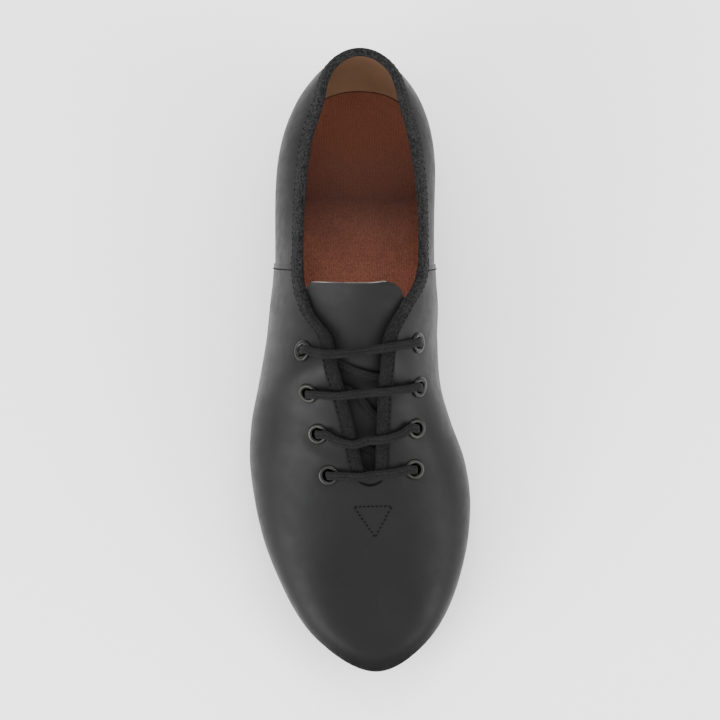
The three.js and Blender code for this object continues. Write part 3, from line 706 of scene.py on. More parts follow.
@dataclass(frozen=True)
class Weave:
    """Woven cotton tape: ribs and hairs scatter light, so it stays matt and dusty; its darker tones on the
    facings are painted shade.
    """

    name: str
    color: str
    lighter: str
    facing_shade: str
    facing_shade_lighter: str
    facing_to: float = 0.0
    collar_from: float = 26.0
    rib: float = 0.55
    depth: float = 0.12
    sheen: float = 0.06

    def build(self) -> Material:
        """Makes the material: twill ribs on the piece's own coordinates, in millimetres."""
        shader = Shader(self.name)
        run, across, _ = shader.split(shader.uv)
        wobble = shader.times(shader.noise(1.6, 3), 1.6)
        slant = shader.plus(shader.plus(run, across), wobble)
        counter = shader.math("SUBTRACT", run, across)
        ribs = shader.wave(slant, self.rib)
        yarns = shader.wave(counter, self.rib * 0.8)
        cloth = shader.plus(shader.times(ribs, 0.35), shader.times(yarns, 0.2))
        fuzz = shader.noise(0.75, 3, 0.7)
        height = shader.plus(shader.times(cloth, 0.3), shader.times(fuzz, 2.4))
        normal = shader.bump(height, self.depth)
        uneven = shader.times(shader.noise(3.5, 3), 0.3)
        share = shader.spread(shader.plus(height, uneven), 1.18, 1.62)
        collar = shader.blend(share, self.color, self.lighter)
        # Painted shade: the facings take the darker pair of tones, the collar behind them the lighter pair.
        along = shader.split(shader.place)[1]
        behind = shader.spread(along, self.facing_to * MM, self.collar_from * MM)
        tone = shader.blend(behind, shader.blend(share, self.facing_shade, self.facing_shade_lighter), collar)
        return shader.cotton(0.95, self.sheen, self.lighter, {"Base Color": tone, "Normal": normal})


@dataclass(frozen=True)
class Braid:
    """A flat braided cotton lace: yarns slant both ways and meet in rows of small V shapes."""

    name: str
    color: str
    lighter: str
    stitch: float = 1.15
    depth: float = 0.14
    sheen: float = 0.05

    def build(self) -> Material:
        """Makes the material on coordinates that run along the lace and round it, both in millimetres."""
        shader = Shader(self.name)
        run, around, _ = shader.split(shader.uv)
        fold = shader.math("PINGPONG", around, self.stitch)
        yarn = shader.wave(shader.plus(run, shader.times(fold, 0.8)), self.stitch)
        rows = shader.wave(around, self.stitch)
        fuzz = shader.noise(0.6, 4, 0.7)
        weave = shader.plus(shader.times(yarn, 0.13), shader.times(rows, 0.10))
        height = shader.plus(weave, shader.times(fuzz, 1.9))
        normal = shader.bump(height, self.depth)
        tone = shader.blend(shader.spread(height, 0.6, 1.35), self.color, self.lighter)
        return shader.cotton(0.92, self.sheen, self.lighter, {"Base Color": tone, "Normal": normal})


@dataclass(frozen=True)
class Sock:
    """Red-brown sock lining: thin leather printed with fine wavy lines along it, dull and lighter in random
    patches, with painted shade under the vamp, through the middle and along its rim.
    """

    name: str
    color: str
    lighter: str
    mid_shade: str
    heel: str
    line: float = 1.1
    shade_from: float = 30.0
    shade_to: float = 79.0
    heel_at: float = 120.0
    vamp_shade: float = 28.0
    grain: float = 0.3
    ink: str = "#150a06"
    under_vamp_shade: str = "#0e0704"
    edge: str = "#170b07"
    rim_shadow_fade: tuple[float, float] = (0.2, 0.6)

    def build(self) -> Material:
        """Makes the material."""
        shader = Shader(self.name)
        across, along, _ = shader.split(shader.place)
        wobble = shader.times(shader.noise(2.6, 3), 2.6 * MM)
        lines = [shader.wave(shader.plus(way, wobble), self.line * MM) for way in (across, along)]
        printed = shader.plus(*lines)
        pores = shader.noise(0.8, 4, 0.6)
        normal = shader.bump(shader.plus(shader.times(printed, 0.25), pores), 0.09)
        soft = shader.times(shader.noise(14, 3), 0.5)
        patches = shader.plus(soft, shader.times(shader.noise(1.0, 4, 0.75), 1.8))
        tone = shader.blend(shader.spread(patches, 0.85, 1.45), self.color, self.lighter)
        # Painted shade along the shoe: darker through the middle of the sock, then lighter again toward the
        # heel tone.
        deepest_shade = self.shade_to * MM
        tone = shader.blend(shader.spread(along, self.shade_from * MM, deepest_shade, 0.0, 0.85), tone, self.mid_shade)
        tone = shader.blend(shader.spread(along, deepest_shade, self.heel_at * MM), tone, self.heel)
        grain = shader.plus(shader.times(lines[0], 0.14), shader.noise(0.7, 3, 0.7))
        tone = shader.blend(shader.spread(grain, 0.35, 0.65, 0.0, self.grain), tone, self.ink)
        # Painted shade under the vamp: the sock turns near-black toward the toe.
        tone = shader.blend(shader.spread(along, 0.0, self.vamp_shade * MM), self.under_vamp_shade, tone)
        # Painted shadow: the sock darkens within a fraction of a millimetre of its rim, and its side faces are
        # dark all over.
        from_rim = shader.split(shader.uv)[0]
        tone = shader.blend(shader.spread(from_rim, *self.rim_shadow_fade), self.edge, tone)
        settings = {"Roughness": 0.72, "IOR": 1.46, "Specular IOR Level": 0.3}
        return shader.finish(settings, {"Base Color": tone, "Normal": normal})


@dataclass(frozen=True)
class Metal:
    """Bare or plated metal: a tinted mirror broken up by fine scratches and a cast or rolled skin."""

    name: str
    color: str
    darker: str
    roughness: float = 0.32
    skin: float = 1.2
    skin_depth: float = 0.02
    scratch: float = 0.0

    def build(self) -> Material:
        """Makes the material."""
        shader = Shader(self.name)
        skin = shader.noise(self.skin, 4)
        normal = shader.bump(skin, self.skin_depth)
        gloss = shader.spread(shader.noise(9, 4), 0.3, 0.7, self.roughness - 0.06, self.roughness + 0.1)
        if self.scratch:
            stretch = add_node(shader.tree, "ShaderNodeMapping", {"Scale": (1.0, 0.06, 1.0)},
                               {"Vector": shader.place})
            lines = shader.noise(self.scratch, 5, 0.7, stretch.outputs[0])
            normal = shader.bump(lines, self.skin_depth * 1.5, normal)
        tone = shader.blend(shader.spread(shader.noise(12, 3), 0.3, 0.7), self.color, self.darker)
        return shader.finish({"Metallic": 1.0}, {"Base Color": tone, "Roughness": gloss, "Normal": normal})


@dataclass(frozen=True)
class Plain:
    """A moulded or trimmed surface with fine layers or pits, such as a sole's edge or thread."""

    name: str
    color: str
    lighter: str
    roughness: float = 0.6
    gloss: float = 0.5
    layer: float = 0.0
    pit: float = 0.5
    depth: float = 0.04

    def build(self) -> Material:
        """Makes the material."""
        shader = Shader(self.name)
        normal = shader.bump(shader.noise(self.pit, 4), self.depth)
        if self.layer:
            height = shader.split(shader.place)[2]
            normal = shader.bump(shader.wave(height, self.layer * MM), self.depth, normal)
        tone = shader.blend(shader.spread(shader.noise(7, 4), 0.35, 0.7), self.color, self.lighter)
        gloss = shader.spread(shader.noise(4, 3), 0.3, 0.7, self.roughness - 0.06, self.roughness + 0.06)
        return shader.finish({"IOR": 1.47, "Specular IOR Level": self.gloss},
                             {"Base Color": tone, "Roughness": gloss, "Normal": normal})


def made_by(recipe: Leather | Weave | Braid | Sock | Metal | Plain) -> Any:
    """A field whose material is made from a recipe."""
    return field(default_factory=recipe.build)


@dataclass
class Finishes:
    """Every material of the shoe, made once."""

    leather: Material = made_by(
        Leather("smooth_black_calf", "#0e0e0e", "#121212", grain_depth=0.012, shaded_toe=True))
    tongue: Material = made_by(
        Leather("soft_black_calf", "#121212", "#171717", 0.55, 0.75, 0.012, 0.12, 0.15))
    lining: Material = made_by(Leather("tan_lining_leather", "#886b53", "#94765f", 0.62, 1.1, 0.03))
    tape: Material = made_by(Weave("cotton_binding_tape", "#030303", "#282828", "#080808", "#161616"))
    lace: Material = made_by(Braid("braided_cotton_lace", "#040404", "#1b1b1b"))
    sock: Material = made_by(Sock("printed_sock_leather", "#764230", "#9a5e49", "#34180f", "#7d4b38"))
    raw: Material = made_by(Plain("raw_leather_edge", "#2f2d2b", "#65615c", 0.85))
    thread: Material = made_by(Plain("polyester_thread", "#060606", "#0b0b0b", 0.95, gloss=0.1, pit=0.15))
    sole_edge: Material = made_by(
        Plain("inked_sole_edge", "#050505", "#080808", 0.8, gloss=0.1, layer=0.9, depth=0.015))
    sole_face: Material = made_by(Leather("sole_leather", "#2a2725", "#38332f", 0.7, 1.4, 0.06))
    heel: Material = made_by(Plain("stacked_heel", "#121213", "#1a1a1b", 0.45, layer=3.2))
    eyelet: Material = made_by(Metal("gunmetal_plate", "#2d2d2c", "#222221", 0.28))
    tap: Material = made_by(Metal("cast_aluminium", "#c9cacb", "#b2b3b5", 0.34, 1.0, 0.03, scratch=1.4))
    screw: Material = made_by(Metal("zinc_plate", "#b3b4b3", "#9c9d9c", 0.3))


def spaced(*parts: tuple[float, float, int]) -> np.ndarray:
    """Numbers in several stretches, each (from, to, count), with shared ends once."""
    pieces = [np.linspace(low, high, count + 1) for low, high, count in parts]
    return np.concatenate([pieces[0], *(part[1:] for part in pieces[1:])])


def sample(at: np.ndarray, run: np.ndarray, points: np.ndarray) -> np.ndarray:
    """Points at places along a line, where `run` says how far along it the given points are."""
    return np.stack([np.interp(at, run, points[:, k]) for k in range(3)], -1)


def eased(count: int) -> np.ndarray:
    """Numbers from 0 to 1, close together at both ends."""
    return (1 - np.cos(np.linspace(0, math.pi, count + 1))) / 2


def across_from(left: np.ndarray, right: np.ndarray, share: np.ndarray) -> np.ndarray:
    """A grid of points straight across from one edge to the other."""
    return left[:, None] + (right - left)[:, None] * share[None, :, None]


def arc_lengths(points: np.ndarray) -> np.ndarray:
    """The distance travelled along rows of points, starting at zero."""
    steps = np.linalg.norm(np.diff(points, axis=0), axis=-1)
    return np.concatenate([[0.0], np.cumsum(steps)])


@dataclass(frozen=True)
class Fold:
    """A soft ridge, or a trough where its height is below zero, along a line of (across, along) shares.

    `step` is how much lower the leather lies on the line's left, seen from its start.
    """

    path: tuple[tuple[float, float], ...]
    height: float
    width: float
    step: float = 0.0
    fade: float = 8.0

    def relief(self, plan: np.ndarray, sizes: Sizes) -> np.ndarray:
        """The fold's height at points of the plan.

        Args:
            plan: The points' X and Y in millimetres, along the last axis.
            sizes: The shoe's sizes.

        Returns:
            The heights in millimetres.
        """
        line = np.array([[x * sizes.ball_width, (along - 0.5) * sizes.length] for x, along in self.path])
        runs = arc_lengths(line)
        nearest = np.full(plan.shape[:-1], np.inf)
        off, travelled = np.zeros_like(nearest), np.zeros_like(nearest)
        for k, (start, end) in enumerate(zip(line, line[1:])):
            way = end - start
            span = float(np.hypot(*way))
            way = way / span
            flat = plan - start
            t = np.clip(flat @ way, 0 if k else -self.fade, span if k + 2 < len(line) else span + self.fade)
            apart = np.linalg.norm(flat - t[..., None] * way, axis=-1)
            side = flat @ np.array([-way[1], way[0]])
            closer = apart < nearest
            nearest = np.where(closer, apart, nearest)
            off = np.where(closer, np.sign(side) * apart, off)
            travelled = np.where(closer, runs[k] + t, travelled)
        fade = 2 * self.fade
        ends = smooth((travelled + self.fade) / fade) * smooth((runs[-1] + self.fade - travelled) / fade)
        ridge = self.height * np.exp(-((nearest / self.width) ** 2))
        levelled = np.exp(-((nearest / (STEP_SPREAD * self.width)) ** 2))
        lower = self.step * 0.5 * (1 + np.tanh(off / self.width)) * levelled
        return ends * (ridge - lower)


FOLDS: tuple[Fold, ...] = (
    Fold(((-0.376, 0.60), (-0.377, 0.581), (-0.368, 0.524), (-0.345, 0.473), (-0.312, 0.426), (-0.273, 0.383),
          (-0.250, 0.360)), 0.07, 3.0, 0.0, 9.0),
    Fold(((-0.300, 0.370), (-0.270, 0.352), (-0.235, 0.340), (-0.192, 0.331), (-0.155, 0.325),
          (-0.115, 0.319)), 0.34, 2.6, 0.05, 7.0),
    Fold(((0.31, 0.52), (0.335, 0.45), (0.365, 0.40)), 0.28, 3.6),
    Fold(((0.36, 0.36), (0.41, 0.33), (0.45, 0.325)), -0.22, 4.0),
    Fold(((0.30, 0.300), (0.22, 0.285), (0.14, 0.280)), -0.12, 4.5),
)


@dataclass
class Workshop:
    """What every piece is made with: the last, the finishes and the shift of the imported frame."""

    last: Last
    finishes: Finishes
    shift: np.ndarray

    @property
    def sizes(self) -> Sizes:
        """The shoe's sizes."""
        return self.last.sizes

    def draft(self) -> Draft:
        """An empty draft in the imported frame."""
        return Draft(self.shift)

    def ride(self, piece: Piece, slot: Slot, *nodes: str) -> Piece:
        """Fixes a piece to the shoe's body and hides the solids that it stands for."""
        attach(piece, "root")
        if nodes:
            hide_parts(*nodes)
        return piece


@dataclass
class EyeletPlace:
    """Where an eyelet sits: its row and share on a side, its centre and the way out of the leather."""

    side: Side
    row: int
    u: float
    v: float
    centre: np.ndarray
    normal: np.ndarray

    @property
    def node(self) -> str:
        """The solid's name."""
        return f"eyelet_{self.side.name.lower()}_{self.row + 1}"


def eyelet_places(last: Last) -> dict[tuple[Side, int], EyeletPlace]:
    """Finds every eyelet's place on the last."""
    places = {}
    for row, pair in enumerate(EYELETS):
        for side, (along, up) in zip(Side, pair):
            v = np.array(last.arch(up))
            u = solve(lambda w: last.point(side, w, v)[..., 1], np.array(last.y_of(along)), 3, 11)
            centre, normal = last.point(side, u, v), last.normal(side, u, v)
            places[side, row] = EyeletPlace(side, row, float(u), float(v), centre, normal)
    return places


@dataclass
class Upper:
    """The leather upper: outer faces with their creases, tan lining inside, and the lap of the side seam."""

    shop: Workshop
    places: Mapping[tuple[Side, int], EyeletPlace]
    low_rings: int = 14
    arch_rings: int = 40
    edge_rings: int = 5
    eyelet_dent: float = 0.26
    dent_radius: float = 5.6
    seam_round: float = 0.45
    hole_radius: float = 3.1

    def rows(self) -> np.ndarray:
        """The stations along the last, close together at the throat's end and at the seam."""
        last, s = self.shop.last, self.shop.sizes
        into_round = 1 - np.cos(np.linspace(0, math.pi / 2, 11))
        rounds = last.row_at_ridge(last.throat_y + s.throat_round * into_round)
        seam = last.seam_row
        lap = seam - np.array([0.09, 0.05, 0.028, 0.015, 0.006, 0.0])
        closed, facings = np.linspace(0, last.throat_row, 96), np.linspace(rounds[-1], lap[0], 84)
        rear = np.linspace(seam + 0.004, LAST_ROW, 92)
        return np.concatenate([closed, rounds[1:], facings[1:], lap[1:], rear])

    def outer_height(self, u: np.ndarray) -> np.ndarray:
        """The outer face's height: the front panel's cut edge rounds down to the rear panel at the seam."""
        s = self.shop.sizes
        before = (self.shop.last.seam_row - u) * ROW_LENGTH
        rounding = np.sqrt(np.clip(1 - (1 - np.clip(before / self.seam_round, 0, 1)) ** 2, 0, 1))
        front = s.outer_front - 0.55 * s.lap_step * (1 - rounding)
        return np.where(u <= self.shop.last.seam_row, front, s.outer_front - s.lap_step)

    def relief(self, points: np.ndarray) -> np.ndarray:
        """The height of the folds and of the dents under the eyelets at points, in millimetres."""
        folds = (fold.relief(points[..., :2], self.shop.sizes) for fold in FOLDS)
        height = sum(folds, np.zeros(points.shape[:-1]))
        for place in self.places.values():
            away = np.linalg.norm(points - place.centre, axis=-1)
            height -= self.eyelet_dent * np.exp(-(away / self.dent_radius) ** 4)
        return height

    def build(self) -> Piece:
        """Makes the upper as one closed mesh and cuts the eyelets' holes."""
        shop, last, s = self.shop, self.shop.last, self.shop.sizes
        u = self.rows()
        closed = u <= last.throat_row + 1e-9
        ends = (u == 0) | (u == LAST_ROW)
        draft = shop.draft()
        for side in Side:
            top = last.edge(side, u)
            bound = last.below(side, u, top, s.binding_width)
            steps = [np.linspace(0, 1, n + 1) for n in (self.low_rings, self.arch_rings, self.edge_rings)]
            v = np.concatenate([
                np.outer(np.ones_like(u), steps[0] * last.low_share),
                last.low_share + np.outer(bound - last.low_share, steps[1][1:]),
                bound[:, None] + np.outer(top - bound, steps[2][1:]),
            ], axis=1)
            rows = np.repeat(u[:, None], v.shape[1], 1)
            shared = ends[:, None] | (closed[:, None] & (np.arange(v.shape[1]) == v.shape[1] - 1)[None, :])
            base = last.over(side, rows, v, 0.0, shared)
            outer = last.over(side, rows, v, self.outer_height(rows) + self.relief(base), shared)
            inner = last.over(side, rows, v, s.inner_face, shared)
            for face, out in ((outer, s.outer_front), (inner, s.inner_face)):
                foot = last.foot_point(side, u, out)
                foot[:, 2] = last.feather(last.along_of(foot[:, 1]))
                face[:, 0] = foot
            uv = np.stack([rows * ROW_LENGTH, v * WALL_LENGTH], -1)
            medial = side is Side.MEDIAL
            draft.grid(outer, uv, 0, medial)
            draft.grid(inner, uv, 1, not medial)
            draft.grid(np.stack([outer[:, 0], inner[:, 0]], 0), None, 0, medial)
            gap = ~closed | (np.arange(len(u)) == np.flatnonzero(closed)[-1])
            draft.grid(np.stack([outer[gap, -1], inner[gap, -1]], 0), None, 0, not medial)
        upper = draft.build("upper_leather", [shop.finishes.leather, shop.finishes.lining])
        self._cut_holes(upper)
        return shop.ride(upper, Slot.UPPER, "upper")

    def _cut_holes(self, upper: Piece) -> None:
        cutters = self.shop.draft()
        for place in self.places.values():
            radius, low, high = self.hole_radius, -5.0, 4.0
            profile = ((0.0, low), (radius, low), (radius, high), (0.0, high))
            cutters.grid(turned(profile, 32, place.centre, place.normal))
        subtract(upper, cutters.build("eyelet_holes", []))


def turned(profile: Sequence[tuple[float, float]], segments: int, origin: np.ndarray,
           axis: np.ndarray) -> np.ndarray:
    """A grid for a turned form.

    Args:
        profile: Pairs of radius and height along the axis, in millimetres.
        segments: How many steps it has round the axis.
        origin: A point of the axis at height zero.
        axis: The axis, of length one.

    Returns:
        The grid, closed round the axis.
    """
    axis = unit(np.asarray(axis, float))
    start = unit(np.cross(axis, [0.0, 1.0, 0.0] if abs(axis[1]) < 0.9 else [1.0, 0.0, 0.0]))
    side = np.cross(axis, start)
    angle = np.linspace(0, 2 * math.pi, segments + 1)
    angle[-1] = 0.0
    radius, height = np.array(profile, float).T
    round_way = np.cos(angle)[:, None, None] * start + np.sin(angle)[:, None, None] * side
    return np.asarray(origin) + round_way * radius[None, :, None] + axis * height[None, :, None]


def subtract(target: Piece, cutter: Piece) -> None:
    """Cuts one object out of another, leaves the result as the target's own mesh and deletes the cutter."""
    cut = target.modifiers.new("cut", "BOOLEAN")
    cut.operation, cut.solver, cut.object = "DIFFERENCE", "EXACT", cutter
    bpy.context.view_layer.update()
    evaluated = target.evaluated_get(bpy.context.evaluated_depsgraph_get())
    mesh = bpy.data.meshes.new_from_object(evaluated)
    target.modifiers.clear()
    target.data = mesh
    bpy.data.objects.remove(cutter)


@dataclass
class Stitching:
    """Rows of thread: each stitch is a short round form, half sunk at both ends."""

    shop: Workshop
    pitch: float = 2.1
    stitch: float = 1.5
    thread: float = 0.24
    rings: int = 5
    sides: int = 6

    def add(self, draft: Draft, points: np.ndarray, normals: np.ndarray) -> int:
        """Adds a row of stitches along a line on the leather.

        Args:
            draft: The draft that they go into.
            points: The line, in millimetres.
            normals: The way out of the leather at each point.

        Returns:
            How many stitches there are.
        """
        run = arc_lengths(points)
        count = max(int(round(run[-1] / self.pitch)), 1)
        pitch = run[-1] / count
        length = self.stitch * pitch / self.pitch
        for k in range(count):
            share = np.linspace(-1, 1, self.rings)
            at = (k + 0.5) * pitch + share * length / 2
            line, out = sample(at, run, points), unit(sample(at, run, normals))
            ahead = unit(np.gradient(line, axis=0))
            side = unit(np.cross(ahead, out))
            fat = self.thread * np.sqrt(np.clip(1.02 - share**2, 0.02, 1))
            lift = self.thread * (0.9 - 1.3 * share**2)
            angle = np.linspace(0, 2 * math.pi, self.sides + 1)
            ring = (side[:, None] * np.cos(angle)[None, :, None]
                    + out[:, None] * np.sin(angle)[None, :, None])
            draft.grid(line[:, None] + out[:, None] * lift[:, None, None] + ring * fat[:, None, None])
        return count

    def on_last(self, draft: Draft, side: Side, u: np.ndarray, v: np.ndarray,
                height: np.ndarray | float) -> int:
        """Adds a row of stitches along rows and shares of the last, at a height over it."""
        last = self.shop.last
        return self.add(draft, last.over(side, u, v, height), last.normal(side, u, v))

    def finish(self, draft: Draft, name: str) -> Piece:
        """Makes one piece of the rows in a draft."""
        made = draft.build(name, [self.shop.finishes.thread], recalc=False)
        return self.shop.ride(made, Slot.UPPER)


@dataclass
class Binding:
    """Cotton tape folded over the collar and facings, drawn in along its row of stitches."""

    shop: Workshop
    stitch_from_edge: float = 1.0
    draw_in: float = 0.5
    pitch: float = 2.8
    back_swell: float = 0.6
    back_thin: float = 0.35
    back_rows: tuple[float, float] = (13.0, 15.0)
    lift: float = 0.12
    sewn_width: float = 0.55
    leg_steps: int = 9
    fold_steps: int = 9

    def rows(self) -> np.ndarray:
        """The stations from the throat's end to the back, about 0.8 mm apart."""
        last, s = self.shop.last, self.shop.sizes
        start = float(last.row_at_ridge(last.throat_y + 0.4 * s.throat_round))
        return spaced((start, 9.0, 90), (9.0, 11.0, 60), (11.0, 13.0, 60), (13.0, LAST_ROW, 90))

    def outer_face(self, u: np.ndarray) -> np.ndarray:
        """The leather's height under the tape, which drops behind the side seam."""
        s = self.shop.sizes
        return s.outer_front - s.lap_step * smooth((u - self.shop.last.seam_row) / 0.2)

    def _sections(self, side: Side, u: np.ndarray) -> np.ndarray:
        last, s = self.shop.last, self.shop.sizes
        shared = u == LAST_ROW
        top = last.edge(side, u)
        mid_line = last.over(side, u, top, 0.0, shared)
        travelled = arc_lengths(mid_line)
        pucker = 0.5 + 0.5 * np.cos(2 * math.pi * travelled / self.pitch)
        upward = last.slopes(side, u, top - 0.005)[1]
        if shared.any():
            far = last.slopes(side.other, u, top - 0.005)[1]
            upward = np.where(shared[:, None], unit(upward + far), upward)
        outside = self.outer_face(u) + self.lift
        inside = s.inner_face - s.gap
        start, end = self.back_rows
        behind = smooth((u - start) / (end - start))
        inner_leg = s.binding_tape * (1 - self.back_thin * behind)
        thick = s.binding_tape * (1 + self.back_swell * behind)

        def at(share: float) -> np.ndarray:
            return last.below(side, u, top, s.binding_width * (1 - share))

        columns = []
        legs = np.linspace(0, 1, self.leg_steps)
        for share in legs:
            down = s.binding_width * (1 - share)
            sewn = np.exp(-((s.binding_width - down - self.stitch_from_edge) / self.sewn_width) ** 2)
            ends = math.sqrt(max(1 - (1 - min(share * 8, 1)) ** 2, 0))
            soft = 0.12 * math.sin(math.pi * share)
            height = outside + thick * (0.25 + 0.75 * ends) + soft - self.draw_in * sewn * pucker
            columns.append(last.over(side, u, at(share), height, shared))
        middle = (outside + thick + inside - inner_leg) / 2
        half = (outside - inside + thick + inner_leg) / 2
        fold = s.gap + s.fold_ease + s.binding_tape
        for angle in np.linspace(0, math.pi, self.fold_steps)[1:-1]:
            level = middle + half * math.cos(angle)
            columns.append(last.over(side, u, top, level, shared) + upward * fold * math.sin(angle))
        slot = (0.0, 0.5, 1.0)
        for height, shares in ((inside - inner_leg, legs[::-1]), (inside, slot), (outside, slot[::-1])):
            columns += [last.over(side, u, at(share), height, shared) for share in shares]
        return np.stack(columns, 1)

    def build(self) -> list[Piece]:
        """Makes the tape and its stitches."""
        shop, last, s = self.shop, self.shop.last, self.shop.sizes
        u = self.rows()
        sections = np.concatenate([self._sections(Side.LATERAL, u), self._sections(Side.MEDIAL, u)[::-1][1:]])
        ring = np.concatenate([sections, sections[:, :1]], 1)
        run = arc_lengths(sections[:, self.leg_steps])
        around = np.stack([arc_lengths(row) for row in ring])
        draft = shop.draft()
        draft.grid(ring, np.stack([np.repeat(run[:, None], ring.shape[1], 1), around], -1))
        for end in (0, -1):
            self._cap(draft, sections[end])
        tape = shop.ride(draft.build("binding_tape", [shop.finishes.tape]), Slot.TAPE, "binding")
        thread = Stitching(shop, self.pitch, 1.5, 0.28)
        rows = shop.draft()
        down = s.binding_width - self.stitch_from_edge
        lines, normals = [], []
        for side in Side:
            v = last.below(side, u, last.edge(side, u), down)
            height = self.outer_face(u) + self.lift + s.binding_tape - self.draw_in * 0.55
            line, normal = last.over(side, u, v, height), last.normal(side, u, v)
            order = slice(None) if side is Side.LATERAL else slice(None, None, -1)
            lines.append(line[order])
            normals.append(normal[order])
        line, normal = (np.concatenate([lateral, medial[1:]]) for lateral, medial in (lines, normals))
        count = thread.add(rows, line, normal)
        LOG.info("binding: %d stations, %d stitches", len(sections), count)
        return [tape, thread.finish(rows, "binding_stitches")]

    def _cap(self, draft: Draft, section: np.ndarray) -> None:
        half = (len(section) - SLOT_POINTS) // 2
        outline, slot = section[:-SLOT_POINTS], section[-SLOT_POINTS:]
        away = outline[: half + 1]
        back = outline[half:][::-1][: len(away)]
        inner = slot[::-1]
        reach = np.linspace(0, len(inner) // 2 - 1, len(away)).round().astype(int)
        draft.grid(np.stack([away, inner[reach]], 0))
        draft.grid(np.stack([back, inner[::-1][reach]], 0))


@dataclass
class Tongue:
    """The soft leather tongue: sewn under the vamp, lying under the strands, with a raw edge at its top."""

    shop: Workshop
    rows: int = 90
    columns: int = 56
    top_rows: int = 25
    top_from: float = 0.545
    raw_edge: float = 0.0014
    spreads: Mapping[Side, tuple[float, float]] = field(
        default_factory=lambda: {Side.LATERAL: (-3.4, 1.5), Side.MEDIAL: (2.6, 2.3)})

    def _line(self, along: np.ndarray, across: np.ndarray, depth: float) -> np.ndarray:
        last, s = self.shop.last, self.shop.sizes
        table = np.array(TONGUE)
        u = last.row_at_ridge(last.y_of(along))
        sewn = 1 - smooth((along - s.throat_at + 0.03) / 0.035)
        height = s.tongue_top + sewn * (s.inner_face - 1.5 * s.gap - s.tongue_top) - depth
        sides = []
        for side, column in zip(Side, (1, 2)):
            half = np.interp(along, table[:, 0], table[:, column]) * s.ball_width
            chosen = across[across <= 0] if side is Side.LATERAL else across[across > 0]
            for share in chosen:
                v = last.below(side, u, np.ones_like(u), np.maximum(abs(share) * half, 1e-4))
                swell = self._swell(along, share)
                line = last.over(side, u, v, height + swell, share == 0)
                spread, lift = self.spreads[side]
                free = smooth((along - 0.47) / 0.07) * abs(share) ** 1.5
                sides.append(line + free[:, None] * np.array([spread, 0.0, lift]))
        return np.stack(sides, 1)

    @staticmethod
    def _swell(along: np.ndarray, share: float) -> np.ndarray:
        free = smooth((along - 0.48) / 0.08)
        return free * (0.25 * np.cos(2.2 * share + 0.5) + 0.12 * np.sin(4 * share + 20 * along))

    def build(self) -> Piece:
        """Makes the tongue: top and bottom faces joined by flat edge strips."""
        shop, s = self.shop, self.shop.sizes
        table = np.array(TONGUE)
        end = table[-1, 0]
        edge = end - self.raw_edge
        along = spaced((table[0, 0], self.top_from, self.rows - self.top_rows - 1),
                       (self.top_from, edge, self.top_rows), (edge, end, 1))
        across = np.sin(np.linspace(-math.pi / 2, math.pi / 2, self.columns + 1))
        across[self.columns // 2] = 0.0
        top = self._line(along, across, 0.0)
        bottom = self._line(along, across, s.tongue_thickness)
        draft = shop.draft()
        uv = np.stack(np.meshgrid(along * s.length, across * 24.0, indexing="ij"), -1)
        draft.grid(top[:-1], uv[:-1], 0)
        draft.grid(top[-2:], uv[-2:], 1)
        draft.grid(bottom, uv, 2, True)
        for one, two, slot in ((top[0], bottom[0], 1), (top[-1], bottom[-1], 1), (top[:, 0], bottom[:, 0], 1),
                               (top[:, -1], bottom[:, -1], 1)):
            draft.grid(np.stack([one, two], 0), None, slot)
        finishes = shop.finishes
        made = draft.build("tongue_leather", [finishes.tongue, finishes.raw, finishes.lining])
        return shop.ride(made, Slot.UPPER, "tongue")


@dataclass(frozen=True)
class Bar:
    """How a bar of lace strays from the straight line between its eyelets, in millimetres."""

    slip_lateral: float
    slip_middle: float
    slip_medial: float
    sink: float


# The lace's way through an eyelet, in millimetres: (toward the crest, out of the leather). In the hole it
# lies a little toward the sole.
THREADED = ((4.6, 2.75), (2.3, 2.35), (-0.2, 1.1), (-0.45, -1.0))
BARS = (Bar(3.8, 5.2, 5.0, 1.5), Bar(0.7, 3.4, 2.6, 1.5), Bar(4.2, 5.3, 5.0, 1.0), Bar(0.5, 2.5, 2.2, 0.0))
# How far each strand under the facings strays toward the back, at even stops on its way down.
STRAND_STRAYS = (
    (-1.2, -2.7, -5.0, -5.0, -3.4, -1.8),
    (1.2, 2.4, 1.4, -3.0, -4.4, -2.4),
    (0.0, -0.5, -1.0, -1.0, -0.5, 0.0),
)


